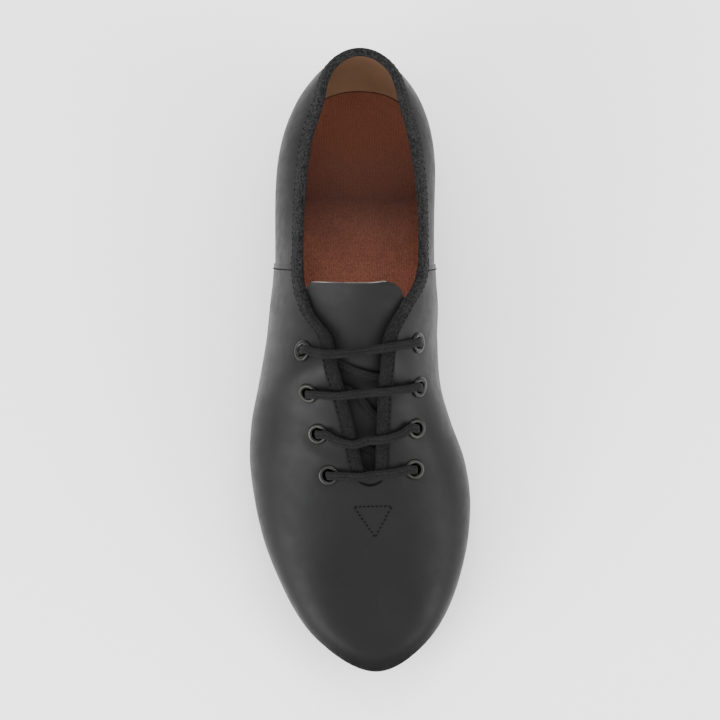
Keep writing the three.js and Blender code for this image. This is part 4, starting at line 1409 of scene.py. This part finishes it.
@dataclass
class Lace:
    """One flat braided lace, threaded through all eight eyelets, with both ends hidden inside."""

    shop: Workshop
    places: Mapping[tuple[Side, int], EyeletPlace]
    step: float = 0.6
    sides: int = 18
    girth: float = 9.2

    def _stop(self, side: Side, u: float, v: float, height: float) -> tuple[np.ndarray, np.ndarray]:
        last = self.shop.last
        point = last.over(side, np.array(u), np.array(v), height, v == 1)
        return point, last.slopes(side, np.array(u), np.array(v))[0]

    def _row_at(self, side: Side, v: float, y: float) -> float:
        last = self.shop.last
        return float(solve(lambda w: last.point(side, w, np.full_like(w, v))[..., 1], np.array(y), 3, 11))

    def bar(self, row: int) -> Ways:
        """The stops of a bar from the medial eyelet to the lateral one, without those in the holes."""
        last, s = self.shop.last, self.shop.sizes
        shape = BARS[row]
        slips = {Side.LATERAL: shape.slip_lateral, Side.MEDIAL: shape.slip_medial}
        stops = {}
        for side in Side:
            place = self.places[side, row]
            edge = min(float(last.edge(side, np.array([place.u]))[0]), 0.97)
            half = (place.v + edge) / 2
            y, slip = float(place.centre[1]), slips[side]
            stops[side] = [
                self._stop(side, self._row_at(side, half, y - slip / 2), half, s.lace_over - 0.15),
                self._stop(side, self._row_at(side, edge, y - slip), edge, s.lace_over + s.lace_ease - 0.1),
            ]
        ends = [stops[side][1][0] for side in Side]
        middle = (ends[0] + ends[1]) / 2
        middle[1] = np.mean([self.places[side, row].centre[1] for side in Side]) - shape.slip_middle
        middle[2] -= shape.sink
        if middle[1] < last.throat_y + s.throat_round:
            ridge = last.point(Side.LATERAL, last.row_at_ridge(middle[1]), np.array(1.0))[2]
            middle[2] = max(middle[2], ridge + s.lace_over - 0.3)
        medial, lateral = stops[Side.MEDIAL], stops[Side.LATERAL]
        return [*medial, (middle, np.array([0.0, 1.0, 0.0])), *lateral[::-1]]

    def strand(self, row: int) -> Ways:
        """The stops of a strand under the facings, from a lateral eyelet to the medial one below it."""
        last, s = self.shop.last, self.shop.sizes
        start, end = self.places[Side.LATERAL, row], self.places[Side.MEDIAL, row + 1]
        whole = (1 - start.v) + (1 - end.v)
        stops = []
        for t, stray in zip(np.linspace(0.16, 0.84, 6), STRAND_STRAYS[row]):
            travelled = t * whole
            lateral = travelled < 1 - start.v
            side = Side.LATERAL if lateral else Side.MEDIAL
            v = start.v + travelled if lateral else end.v + whole - travelled
            straight = start.u + (end.u - start.u) * t
            y = float(last.point(side, np.array(straight), np.array(v))[1]) + stray
            stops.append(self._stop(side, self._row_at(side, v, y), v, s.lace_under))
        return stops

    def through(self, side: Side, row: int, inward: np.ndarray, outward: bool) -> Ways:
        """The stops through an eyelet: over its flange, down near its middle and away inside.

        Args:
            side: The eyelet's side.
            row: Its row.
            inward: A point inside toward which the lace leaves.
            outward: True where the lace comes up through the eyelet, false where it goes down.

        Returns:
            The stops in the order that the lace passes them.
        """
        place = self.places[side, row]
        normal = place.normal
        along, upward = self.shop.last.slopes(side, np.array(place.u), np.array(place.v))
        below = unit((inward - place.centre) - ((inward - place.centre) @ normal) * normal)
        inside = ((0.3, -3.1), (3.2, self.shop.sizes.lace_under))
        stops = [(place.centre + upward * up + normal * out, along) for up, out in THREADED]
        stops += [(place.centre + below * away + normal * out, along) for away, out in inside]
        return stops[::-1] if outward else stops

    def route(self) -> Ways:
        """All stops, from the hidden end by the top medial eyelet to the one by the top lateral eyelet."""
        s = self.shop.sizes
        first = self.places[Side.MEDIAL, 0]
        start = self._stop(Side.MEDIAL, first.u, first.v - 0.1, s.lace_under)
        stops = [start]
        for row in range(len(EYELETS)):
            came_from = start[0] if row == 0 else self.strand(row - 1)[-1][0]
            stops += self.through(Side.MEDIAL, row, came_from, True)
            stops += self.bar(row)
            if row + 1 < len(EYELETS):
                under = self.strand(row)
                stops += self.through(Side.LATERAL, row, under[0][0], False)
                stops += under
        lateral = [self.places[Side.LATERAL, row] for row in (3, 2, 1, 0)]
        tail = [self._stop(Side.LATERAL, place.u, place.v - 0.07, s.lace_under - 0.2) for place in lateral]
        stops += self.through(Side.LATERAL, 3, tail[1][0], False)
        inward = np.array([1.0, 0.0, 0.3])
        stops += [(point, inward) for point, _ in tail[1:]]
        return stops

    def build(self) -> Piece:
        """Sweeps the lace's oval along its route."""
        s = self.shop.sizes
        stops = self.route()
        control = np.array([point for point, _ in stops])
        ways = np.array([way for _, way in stops])
        line, place = curve_through(control, self.step)
        run = arc_lengths(line)
        ahead = unit(np.gradient(line, axis=0))
        wish = sample(place, np.arange(len(ways)), ways)
        width = unit(wish - (wish * ahead).sum(-1, keepdims=True) * ahead)
        for _ in range(6):
            padded = np.concatenate([width[:1], width, width[-1:]])
            width = unit(padded[:-2] + 2 * padded[1:-1] + padded[2:])
        width = unit(width - (width * ahead).sum(-1, keepdims=True) * ahead)
        thick = np.cross(ahead, width)
        angle = np.linspace(0, 2 * math.pi, self.sides + 1)
        angle[-1] = 0.0
        flat = np.sign(np.cos(angle)) * np.abs(np.cos(angle)) ** 0.85
        rise = np.sign(np.sin(angle)) * np.abs(np.sin(angle)) ** 0.75
        ring = (width[:, None] * flat[None, :, None] * s.lace_width / 2
                + thick[:, None] * rise[None, :, None] * s.lace_thickness / 2)
        around = np.linspace(0, self.girth, self.sides + 1)
        draft = self.shop.draft()
        grid = line[:, None] + ring
        draft.grid(grid, np.stack(np.meshgrid(run, around, indexing="ij"), -1))
        for end in (0, -1):
            centre = np.repeat(line[end][None], self.sides + 1, 0)
            draft.grid(np.stack([grid[end], centre], 0))
        made = draft.build("lace", [self.shop.finishes.lace])
        LOG.info("lace: %.0f mm long", run[-1])
        nodes = [f"lace_bar_{k + 1}" for k in range(len(BARS))] + ["lace_crossings"]
        return self.shop.ride(made, Slot.LACE, *nodes)


def curve_through(control: np.ndarray, step: float) -> tuple[np.ndarray, np.ndarray]:
    """A smooth curve through points, sampled at even steps.

    Args:
        control: The points, in order.
        step: The distance between samples, in millimetres.

    Returns:
        The samples, and for each the number of the control point that it is at, with its fraction.
    """
    knots = np.concatenate([[0.0], np.cumsum(np.sqrt(np.linalg.norm(np.diff(control, axis=0), axis=1)))])
    slope = np.gradient(control, knots, axis=0)
    fine = np.linspace(0, knots[-1], len(control) * 24)
    k = np.clip(np.searchsorted(knots, fine, "right") - 1, 0, len(knots) - 2)
    width = (knots[k + 1] - knots[k])
    t = ((fine - knots[k]) / width)[:, None]
    width = width[:, None]
    dense = ((2 * t**3 - 3 * t**2 + 1) * control[k] + (t**3 - 2 * t**2 + t) * width * slope[k]
             + (-2 * t**3 + 3 * t**2) * control[k + 1] + (t**3 - t**2) * width * slope[k + 1])
    run = arc_lengths(dense)
    at = np.linspace(0, run[-1], int(run[-1] / step) + 1)
    return sample(at, run, dense), np.interp(at, run, k + t[:, 0])


@dataclass
class Eyelets:
    """Eight metal eyelets: a rolled ring outside, a barrel and a flattened rim inside."""

    shop: Workshop
    places: Mapping[tuple[Side, int], EyeletPlace]
    hole: float = 2.5
    barrel: float = 2.95
    flange: float = 4.65
    rim: float = 4.0
    height: float = 0.95

    def profile(self) -> list[tuple[float, float]]:
        """The closed outline as pairs of radius and height."""
        s = self.shop.sizes
        foot = s.outer_front - 0.15
        middle, half = (self.hole + self.flange) / 2, (self.flange - self.hole) / 2
        ring = [(middle - half * math.cos(a), foot + self.height * math.sin(a) ** 0.8)
                for a in np.linspace(0.0, math.pi, 19)]
        bottom = s.inner_face - 2.5 * s.gap
        rolled = [(self.barrel, foot), (self.barrel, bottom), (self.rim - 0.1, bottom),
                  (self.rim, bottom - 0.2), (self.rim - 0.1, bottom - 0.4), (self.hole + 0.2, bottom - 0.4),
                  (self.hole, bottom - 0.2)]
        return [*ring, *rolled, ring[0]]

    def build(self) -> list[Piece]:
        """Makes the eyelets, one piece each."""
        made = []
        for place in self.places.values():
            draft = self.shop.draft()
            draft.grid(turned(self.profile(), 48, place.centre, place.normal))
            piece = draft.build(f"{place.node}_ring", [self.shop.finishes.eyelet])
            made.append(self.shop.ride(piece, Slot.EYELET, place.node))
        return made


@dataclass(frozen=True)
class Level:
    """An edge line of a bottom layer: how far it stands out from the feather line, and its height."""

    out: float
    height: Curve


def levels_on(*lines: tuple[float, Curve, float]) -> list[Level]:
    """Edge lines, each given by how far out it stands, the face that it follows and how far over it."""
    return [Level(out, lambda along, face=face, over=over: face(along) + over) for out, face, over in lines]


@dataclass
class Bottom:
    """Insole, outsole, heel and taps, each a layer between levels that follow the feather line."""

    shop: Workshop
    across: int = 28
    sock_gap: float = 0.06
    sock_cove: float = 8.5
    sock_dish: float = 0.5

    def heights(self) -> dict[str, Curve]:
        """The heights of the layers' faces along the shoe."""
        last, s = self.shop.last, self.shop.sizes
        sole_top = s.gap
        sole_bottom = sole_top + s.sole_thickness
        tap_top = sole_bottom + s.gap
        drops = {"sole_top": sole_top, "sole_bottom": sole_bottom, "tap_top": tap_top,
                 "tap_bottom": tap_top + s.tap_thickness}
        made = {name: (lambda along, drop=drop: last.feather(along) - drop) for name, drop in drops.items()}
        made["foot"] = last.feather
        return made

    def layer(self, name: str, rows: np.ndarray, levels: Sequence[Level], slots: tuple[int, int, int],
              materials: Sequence[Material], square: bool = False) -> Piece:
        """Makes a layer.

        Args:
            name: The piece's name.
            rows: Its stations, as rows of the last's table.
            levels: Its edge lines from the top down.
            slots: The materials of its top, edge and bottom.
            materials: Its materials.
            square: Whether its front end is a face of its own.

        Returns:
            The object.
        """
        last = self.shop.last
        rails = {}
        for side in Side:
            lines = []
            for level in levels:
                line = last.foot_point(side, rows, level.out)
                line[:, 2] = level.height(last.along_of(line[:, 1]))
                lines.append(line)
            rails[side] = np.stack(lines, 1)
        share = eased(self.across)
        faces = []
        for which in (0, -1):
            face = across_from(rails[Side.LATERAL][:, which], rails[Side.MEDIAL][:, which], share)
            face[..., 2] = levels[which].height(last.along_of(face[..., 1]))
            faces.append(face)
        draft = self.shop.draft()
        top, bottom = faces
        draft.grid(top, top[..., :2].copy(), slots[0])
        draft.grid(bottom, bottom[..., :2].copy(), slots[2], True)
        for side in Side:
            draft.grid(rails[side], None, slots[1], side is Side.MEDIAL)
        if square:
            column = np.stack([rails[Side.LATERAL][0][:, None] * (1 - share[None, :, None])
                               + rails[Side.MEDIAL][0][:, None] * share[None, :, None]], 0)[0]
            column[0], column[-1] = top[0], bottom[0]
            draft.grid(column, None, slots[1])
        return draft.build(name, materials)

    def insole(self) -> Piece:
        """The insole board with its sock, which is hollowed by the foot and curls up the wall at its edge."""
        last, s = self.shop.last, self.shop.sizes
        rows = np.concatenate([np.linspace(0, 14, 150), np.linspace(14, LAST_ROW, 61)[1:]])
        curl = np.array(SOCK_CURL)
        rims, feet = {}, {}
        for side, column in zip(Side, (1, 2)):
            wanted = np.interp(rows, curl[:, 0], curl[:, column])
            ends = (rows == 0) | (rows == LAST_ROW)

            def on_wall(v: np.ndarray, side: Side = side, ends: np.ndarray = ends) -> np.ndarray:
                return last.over(side, rows, v, s.inner_face - self.sock_gap, ends)

            def height(v: np.ndarray) -> np.ndarray:
                point = on_wall(v)
                return point[:, 2] - last.feather(last.along_of(point[:, 1]))

            rims[side] = on_wall(solve(height, wanted, 0, last.low_share))
            feet[side] = last.foot_point(side, rows, s.inner_face - s.gap - s.insole_ease)
            feet[side][:, 2] = last.feather(last.along_of(feet[side][:, 1]))
        left, right = rims[Side.LATERAL], rims[Side.MEDIAL]
        share = eased(2 * self.across)
        top = across_from(left, right, share)
        half = np.linalg.norm((right - left)[:, :2], axis=-1)[:, None] / 2
        inward = np.minimum(share, 1 - share)[None, :] * 2 * half
        climb = np.clip(1 - inward / self.sock_cove, 0, 1) ** 1.6
        flat = last.feather(last.along_of(top[..., 1])) + s.insole_thickness
        dish = self.sock_dish * smooth(inward / 22.0)
        rim_height = np.where(share[None, :] < 0.5, left[:, 2:], right[:, 2:])
        top[..., 2] = flat - dish + (rim_height - flat) * climb
        bottom = across_from(feet[Side.LATERAL], feet[Side.MEDIAL], share)
        bottom[..., 2] = last.feather(last.along_of(bottom[..., 1]))
        draft = self.shop.draft()
        rim = np.concatenate([left, right])[:, :2]
        from_rim = np.array([np.linalg.norm(row[:, None, :2] - rim[None], axis=-1).min(1) for row in top])
        draft.grid(top, np.stack([from_rim, from_rim], -1), 0)
        draft.grid(bottom, bottom[..., :2].copy(), 1, True)
        for side, column in zip(Side, (0, -1)):
            draft.grid(np.stack([top[:, column], feet[side]], 1), None, 0, side is Side.MEDIAL)
        made = draft.build("insole_sock", [self.shop.finishes.sock, self.shop.finishes.raw])
        return self.shop.ride(made, Slot.SOCK, "insole")

    def outsole(self, screws: "Screws") -> Piece:
        """The outsole, with inked edges and a leather face."""
        s = self.shop.sizes
        heights = self.heights()
        top, bottom = heights["sole_top"], heights["sole_bottom"]
        edge, bevel = s.sole_margin, s.sole_bevel
        levels = levels_on((edge - 0.5, top, 0.0), (edge - 0.15, top, -0.15), (edge, top, -0.5),
                           (edge, bottom, bevel), (edge - 0.25 * bevel, bottom, 0.3 * bevel),
                           (edge - bevel, bottom, 0.0))
        rows = np.linspace(0, LAST_ROW, 220)
        materials = [self.shop.finishes.sole_edge, self.shop.finishes.sole_face]
        made = self.layer("outsole_leather", rows, levels, (0, 0, 1), materials)
        screws.cut(made, screws.toe)
        return self.shop.ride(made, Slot.OUTSOLE, "outsole")

    def heel(self, screws: "Screws") -> Piece:
        """The heel block, narrower at the floor."""
        s = self.shop.sizes
        bottom = self.heights()["sole_bottom"]
        margin = s.sole_margin - s.sole_bevel
        low = s.tap_thickness + s.gap

        def between(share: float) -> Curve:
            return lambda a: (bottom(a) - s.gap) * (1 - share) + low * share

        levels = [Level(margin - s.heel_taper * (k**0.8), between(k)) for k in np.linspace(0, 0.96, 10)]
        levels.append(Level(margin - s.heel_taper - 0.4, lambda a: np.full_like(a, low)))
        rows = np.linspace(float(self.shop.last.row_of(s.heel_breast)), LAST_ROW, 110)
        made = self.layer("heel_block", rows, levels, (0, 0, 0), [self.shop.finishes.heel], square=True)
        screws.cut(made, screws.heel)
        return self.shop.ride(made, Slot.HEEL, "heel")

    def _tap(self, name: str, rows: np.ndarray, out: float, top: Curve, bottom: Curve) -> Piece:
        levels = levels_on((out - 0.3, top, 0.0), (out, top, -0.3), (out, bottom, 0.6),
                           (out - 0.2, bottom, 0.2), (out - 0.6, bottom, 0.0))
        return self.layer(name, rows, levels, (0, 0, 0), [self.shop.finishes.tap], square=True)

    def toe_tap(self, screws: "Screws") -> Piece:
        """The toe tap: a cast plate with softened edges."""
        s, heights = self.shop.sizes, self.heights()
        rows = np.linspace(0, float(self.shop.last.row_of(s.toe_tap_ends)), 120)[::-1]
        made = self._tap("toe_tap_plate", rows, s.sole_margin - s.tap_inset, heights["tap_top"],
                         heights["tap_bottom"])
        screws.cut(made, screws.toe)
        return self.shop.ride(made, Slot.TAP, "toe_tap")

    def heel_tap(self, screws: "Screws") -> Piece:
        """The heel tap, flat on the floor."""
        s = self.shop.sizes
        rows = np.linspace(float(self.shop.last.row_of(s.heel_breast)), LAST_ROW, 90)
        made = self._tap("heel_tap_plate", rows, s.sole_margin - s.sole_bevel - s.heel_taper,
                         lambda along: np.full_like(along, s.tap_thickness), np.zeros_like)
        screws.cut(made, screws.heel)
        return self.shop.ride(made, Slot.TAP, "heel_tap")


TOE_SCREWS = ((0.055, 0.0), (0.20, -0.26), (0.20, 0.24))
HEEL_SCREWS = ((0.925, 0.0), (0.81, -0.20), (0.81, 0.20))


@dataclass
class Screws:
    """The taps' screws: pan heads with a crossed recess, let into the plates."""

    shop: Workshop
    head: float = 3.0
    head_height: float = 1.0
    shank: float = 1.3
    length: float = 5.4
    sunk: float = 0.2
    toe: Ways = field(init=False)
    heel: Ways = field(init=False)

    def __post_init__(self) -> None:
        """Places the screws under the taps."""
        feather, drop = self.shop.last.feather, self.shop.sizes.feather
        self.toe = [self._frame(*at, lambda along: feather(along) - drop) for at in TOE_SCREWS]
        self.heel = [self._frame(*at, np.zeros_like) for at in HEEL_SCREWS]

    def _frame(self, along: float, across: float, bottom: Curve) -> tuple[np.ndarray, np.ndarray]:
        last, s = self.shop.last, self.shop.sizes
        row = last.row_of(min(max(along, SECTIONS[0][0]), SECTIONS[-1][0]))
        mid = float(last.value("mid", Side.LATERAL, row))
        low, here, high = (float(bottom(np.array(along + d))) for d in (-0.005, 0.0, 0.005))
        slope = (high - low) / (0.01 * s.length)
        place = np.array([(mid + across) * s.ball_width, last.y_of(along), here])
        return place, unit(np.array([0.0, -slope, 1.0]))

    def cut(self, piece: Piece, frames: Iterable[tuple[np.ndarray, np.ndarray]]) -> None:
        """Cuts the screws' holes into a piece."""
        gap = self.shop.sizes.gap
        seat = self.sunk + self.head_height + gap
        profile = ((0.0, -2.0), (self.head + gap, -2.0), (self.head + gap, seat), (self.shank + gap, seat),
                   (self.shank + gap, self.length + gap), (0.0, self.length + gap))
        draft = self.shop.draft()
        for origin, axis in frames:
            draft.grid(turned(profile, 32, origin, axis))
        subtract(piece, draft.build("screw_holes", []))

    def build(self) -> list[Piece]:
        """Makes the screws, one piece each."""
        low, high = self.sunk, self.sunk + self.head_height
        profile = [(0.0, low), (self.head - 0.9, low), (self.head - 0.35, low + 0.12), (self.head, low + 0.5),
                   (self.head, high), (self.shank, high), (self.shank, self.length - 0.8), (0.0, self.length)]
        made = []
        for kind, frames in (("toe", self.toe), ("heel", self.heel)):
            for k, (origin, axis) in enumerate(frames):
                draft = self.shop.draft()
                draft.grid(turned(profile, 40, origin, axis))
                piece = draft.build(f"{kind}_tap_screw_{k + 1}", [self.shop.finishes.screw])
                self._cross(piece, origin, axis)
                made.append(self.shop.ride(piece, Slot.SCREW, f"{kind}_screw_{k + 1}"))
        return made

    def _cross(self, piece: Piece, origin: np.ndarray, axis: np.ndarray) -> None:
        arm, half, deep = 1.7, 0.32, 0.75
        start = unit(np.cross(axis, [0.3, 1.0, 0.0]))
        other = np.cross(axis, start)
        for one, two in ((start, other), (other, start)):
            corners = [(-arm, -half), (arm, -half), (arm, half), (-arm, half), (-arm, -half)]
            rings = [[origin + one * a + two * b + axis * z for a, b in corners]
                     for z in (-1.0, self.sunk + deep)]
            draft = self.shop.draft()
            draft.grid(np.array(rings))
            for ring in rings:
                draft.grid(np.array([[ring[0], ring[1]], [ring[3], ring[2]]]))
            subtract(piece, draft.build("cross_slot", []))


@dataclass
class VampStitches:
    """The stitched triangle below the throat, the bar tack across its end and the side seams' rows."""

    shop: Workshop
    corners: tuple[tuple[float, float], ...] = ((-0.028, 0.2505), (0.145, 0.2515), (0.070, 0.2035))
    tack_half: float = 5.4
    tack_ahead: float = 2.6
    tack_drop: float = 1.9
    seam_offset: float = 1.7

    def _on_vamp(self, x: np.ndarray, y: np.ndarray) -> tuple[np.ndarray, np.ndarray]:
        """The leather's surface and normals above points of the plan, in the closed front of the upper."""
        last, s = self.shop.last, self.shop.sizes
        ridge = last.over(Side.LATERAL, last.row_at_ridge(y), np.ones_like(y), 0.0, True)[:, 0]
        points, normals = np.zeros((len(x), 3)), np.zeros((len(x), 3))
        for side in Side:
            mine = (x - ridge) * side.value >= 0
            if not mine.any():
                continue
            u = last.row_at_ridge(y[mine])
            for _ in range(8):
                shares = np.linspace(1, 0.35, 200)[None, :]
                line = last.point(side, u[:, None], shares)
                pick = np.argmin(np.abs(line[..., 0] - x[mine][:, None]), axis=1)
                v = shares[0][pick]
                u = u + (y[mine] - last.point(side, u, v)[:, 1]) / ROW_LENGTH
            points[mine] = last.over(side, u, v, s.outer_front)
            normals[mine] = last.normal(side, u, v)
        return points, normals

    def build(self) -> list[Piece]:
        """Makes the rows of stitches."""
        shop, last, s = self.shop, self.shop.last, self.shop.sizes
        thread = Stitching(shop, 1.9, 1.35, 0.34)
        triangle = shop.draft()
        plan = [np.array([x * s.ball_width, last.y_of(along)]) for x, along in self.corners]
        for start, end in zip(plan, plan[1:] + plan[:1]):
            line = start + (end - start) * np.linspace(0, 1, 30)[:, None]
            thread.add(triangle, *self._on_vamp(line[:, 0], line[:, 1]))
        tack = shop.draft()
        centre = float(last.over(Side.LATERAL, np.array(last.throat_row), np.array(1.0), 0.0, True)[0])
        across = np.linspace(-1, 1, 40)
        zigzag = Stitching(shop, 0.75, 0.72, 0.3)
        for offset in (-0.3, 0.0, 0.3):
            y = last.throat_y - self.tack_ahead - self.tack_drop * (1 - across**2) + offset * (1 - across**2)
            zigzag.add(tack, *self._on_vamp(centre + across * self.tack_half, y))
        seams = shop.draft()
        for side in Side:
            u = np.full(80, last.seam_row - self.seam_offset / ROW_LENGTH)
            top = float(last.below(side, u[:1], last.edge(side, u[:1]), s.binding_width)[0])
            seam = Stitching(shop, 2.3, 1.7, 0.25)
            seam.on_last(seams, side, u, np.linspace(0.03, top, 80), s.outer_front)
        return [thread.finish(triangle, "vamp_triangle_stitches"), thread.finish(tack, "throat_bar_tack"),
                thread.finish(seams, "side_seam_stitches")]


@dataclass
class Studio:
    """A pale floor, soft lights and the camera at the photograph's angle."""

    shift: np.ndarray
    elevation: float = 76.0
    distance: float = 1800.0
    target_height: float = 45.0
    scale: float = 2.25
    image: int = 720
    sensor: float = 36.0
    zenith: float = 3.1
    horizon: float = 0.7

    def camera(self) -> None:
        """Makes the camera."""
        data = bpy.data.cameras.new("photo_camera")
        data.sensor_width = self.sensor
        data.lens = self.scale * self.distance / self.image * self.sensor
        data.clip_start, data.clip_end = 0.05, 50.0
        camera = bpy.data.objects.new("photo_camera", data)
        angle = math.radians(self.elevation)
        ahead = np.array([0.0, math.cos(angle), -math.sin(angle)])
        up = np.array([0.0, math.sin(angle), math.cos(angle)])
        place = (np.array([0.0, 0.0, self.target_height]) + self.shift - ahead * self.distance) * MM
        turn = Matrix((np.array([1.0, 0.0, 0.0]), up, -ahead)).transposed()
        camera.matrix_world = Matrix.Translation(place) @ turn.to_4x4()
        bpy.context.scene.collection.objects.link(camera)
        bpy.context.scene.camera = camera

    def floor(self) -> None:
        """Makes the floor."""
        shader = Shader("pale_studio_floor")
        tone = shader.blend(shader.spread(shader.noise(220, 2), 0.3, 0.7), "#f5f4f5", "#f7f6f7")
        material = shader.finish({"Roughness": 0.8}, {"Base Color": tone})
        draft = Draft(np.zeros(3))
        side = np.linspace(-6000.0, 6000.0, 3)
        x, y = np.meshgrid(side, side)
        draft.grid(np.stack([x, y, np.full_like(x, -0.05)], -1))
        draft.build("studio_floor", [material], recalc=False)

    def lights(self) -> None:
        """Makes a softbox on the left, right and rear, and a grey sky that is brighter toward the zenith."""
        world = bpy.data.worlds.new("studio")
        world.use_nodes = True
        sky = world.node_tree.nodes["Background"]
        sky.inputs[0].default_value = linear("#e8e8ea")
        way = add_node(world.node_tree, "ShaderNodeTexCoord").outputs["Generated"]
        split = add_node(world.node_tree, "ShaderNodeSeparateXYZ", None, {"Vector": way})
        settings = {"From Min": 0.0, "From Max": 0.55, "To Min": self.horizon, "To Max": self.zenith}
        height = add_node(world.node_tree, "ShaderNodeMapRange", settings, {"Value": split.outputs[2]})
        world.node_tree.links.new(height.outputs["Result"], sky.inputs[1])
        bpy.context.scene.world = world
        boxes = (
            ("left_softbox", (-1.3, -0.9, 0.6), (1.1, 1.1), 42.0),
            ("right_softbox", (1.4, -0.6, 0.65), (1.1, 1.1), 25.0),
            ("rear_softbox", (0.1, 1.5, 2.0), (1.5, 1.2), 20.0),
        )
        for name, place, size, power in boxes:
            data = bpy.data.lights.new(name, "AREA")
            data.shape, data.size, data.size_y, data.energy = "RECTANGLE", size[0], size[1], power
            light = bpy.data.objects.new(name, data)
            ahead = unit(np.array([0.0, 0.0, 0.05]) - np.array(place))
            side = unit(np.cross(ahead, [0.0, 0.0, 1.0]))
            up = np.cross(side, ahead)
            light.matrix_world = Matrix.Translation(place) @ Matrix((side, up, -ahead)).transposed().to_4x4()
            bpy.context.scene.collection.objects.link(light)


def packed_shift(last: Last) -> np.ndarray:
    """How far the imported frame's origin lies from the last's own, in millimetres, by the outsole's box."""
    rows = np.linspace(0, LAST_ROW, 37)
    edges = [last.foot_point(side, rows, last.sizes.sole_margin) for side in Side]
    outline = np.concatenate(edges)
    low, high = (np.array(corner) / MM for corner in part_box("outsole"))
    own = (outline[:, :2].min(0) + outline[:, :2].max(0)) / 2
    there = (low + high)[:2] / 2
    return np.array([*(there - own), 0.0])


def main() -> None:
    """Makes every piece in order, and the studio round them."""
    logging.basicConfig(level=logging.INFO, format="%(name)s: %(message)s")
    last = Last(Sizes())
    shift = packed_shift(last)
    LOG.info("packed frame: shift %s mm", np.round(shift, 3))
    studio = Studio(shift)
    studio.camera()
    studio.floor()
    studio.lights()
    shop = Workshop(last, Finishes(), shift)
    places = eyelet_places(last)
    screws = Screws(shop)
    bottom = Bottom(shop)
    steps: tuple[tuple[str, Callable[[], Any]], ...] = (
        ("lace", Lace(shop, places).build),
        ("upper", Upper(shop, places).build),
        ("binding", Binding(shop).build),
        ("tongue", Tongue(shop).build),
        ("eyelets", Eyelets(shop, places).build),
        ("vamp and seam stitches", VampStitches(shop).build),
        ("insole", bottom.insole),
        ("outsole", lambda: bottom.outsole(screws)),
        ("heel", lambda: bottom.heel(screws)),
        ("toe tap", lambda: bottom.toe_tap(screws)),
        ("heel tap", lambda: bottom.heel_tap(screws)),
        ("screws", screws.build),
    )
    for name, make in steps:
        made = make()
        pieces = made if isinstance(made, list) else [made]
        LOG.info("%s: %d faces", name, sum(len(piece.data.polygons) for piece in pieces))


if __name__ == "__main__":
    main()
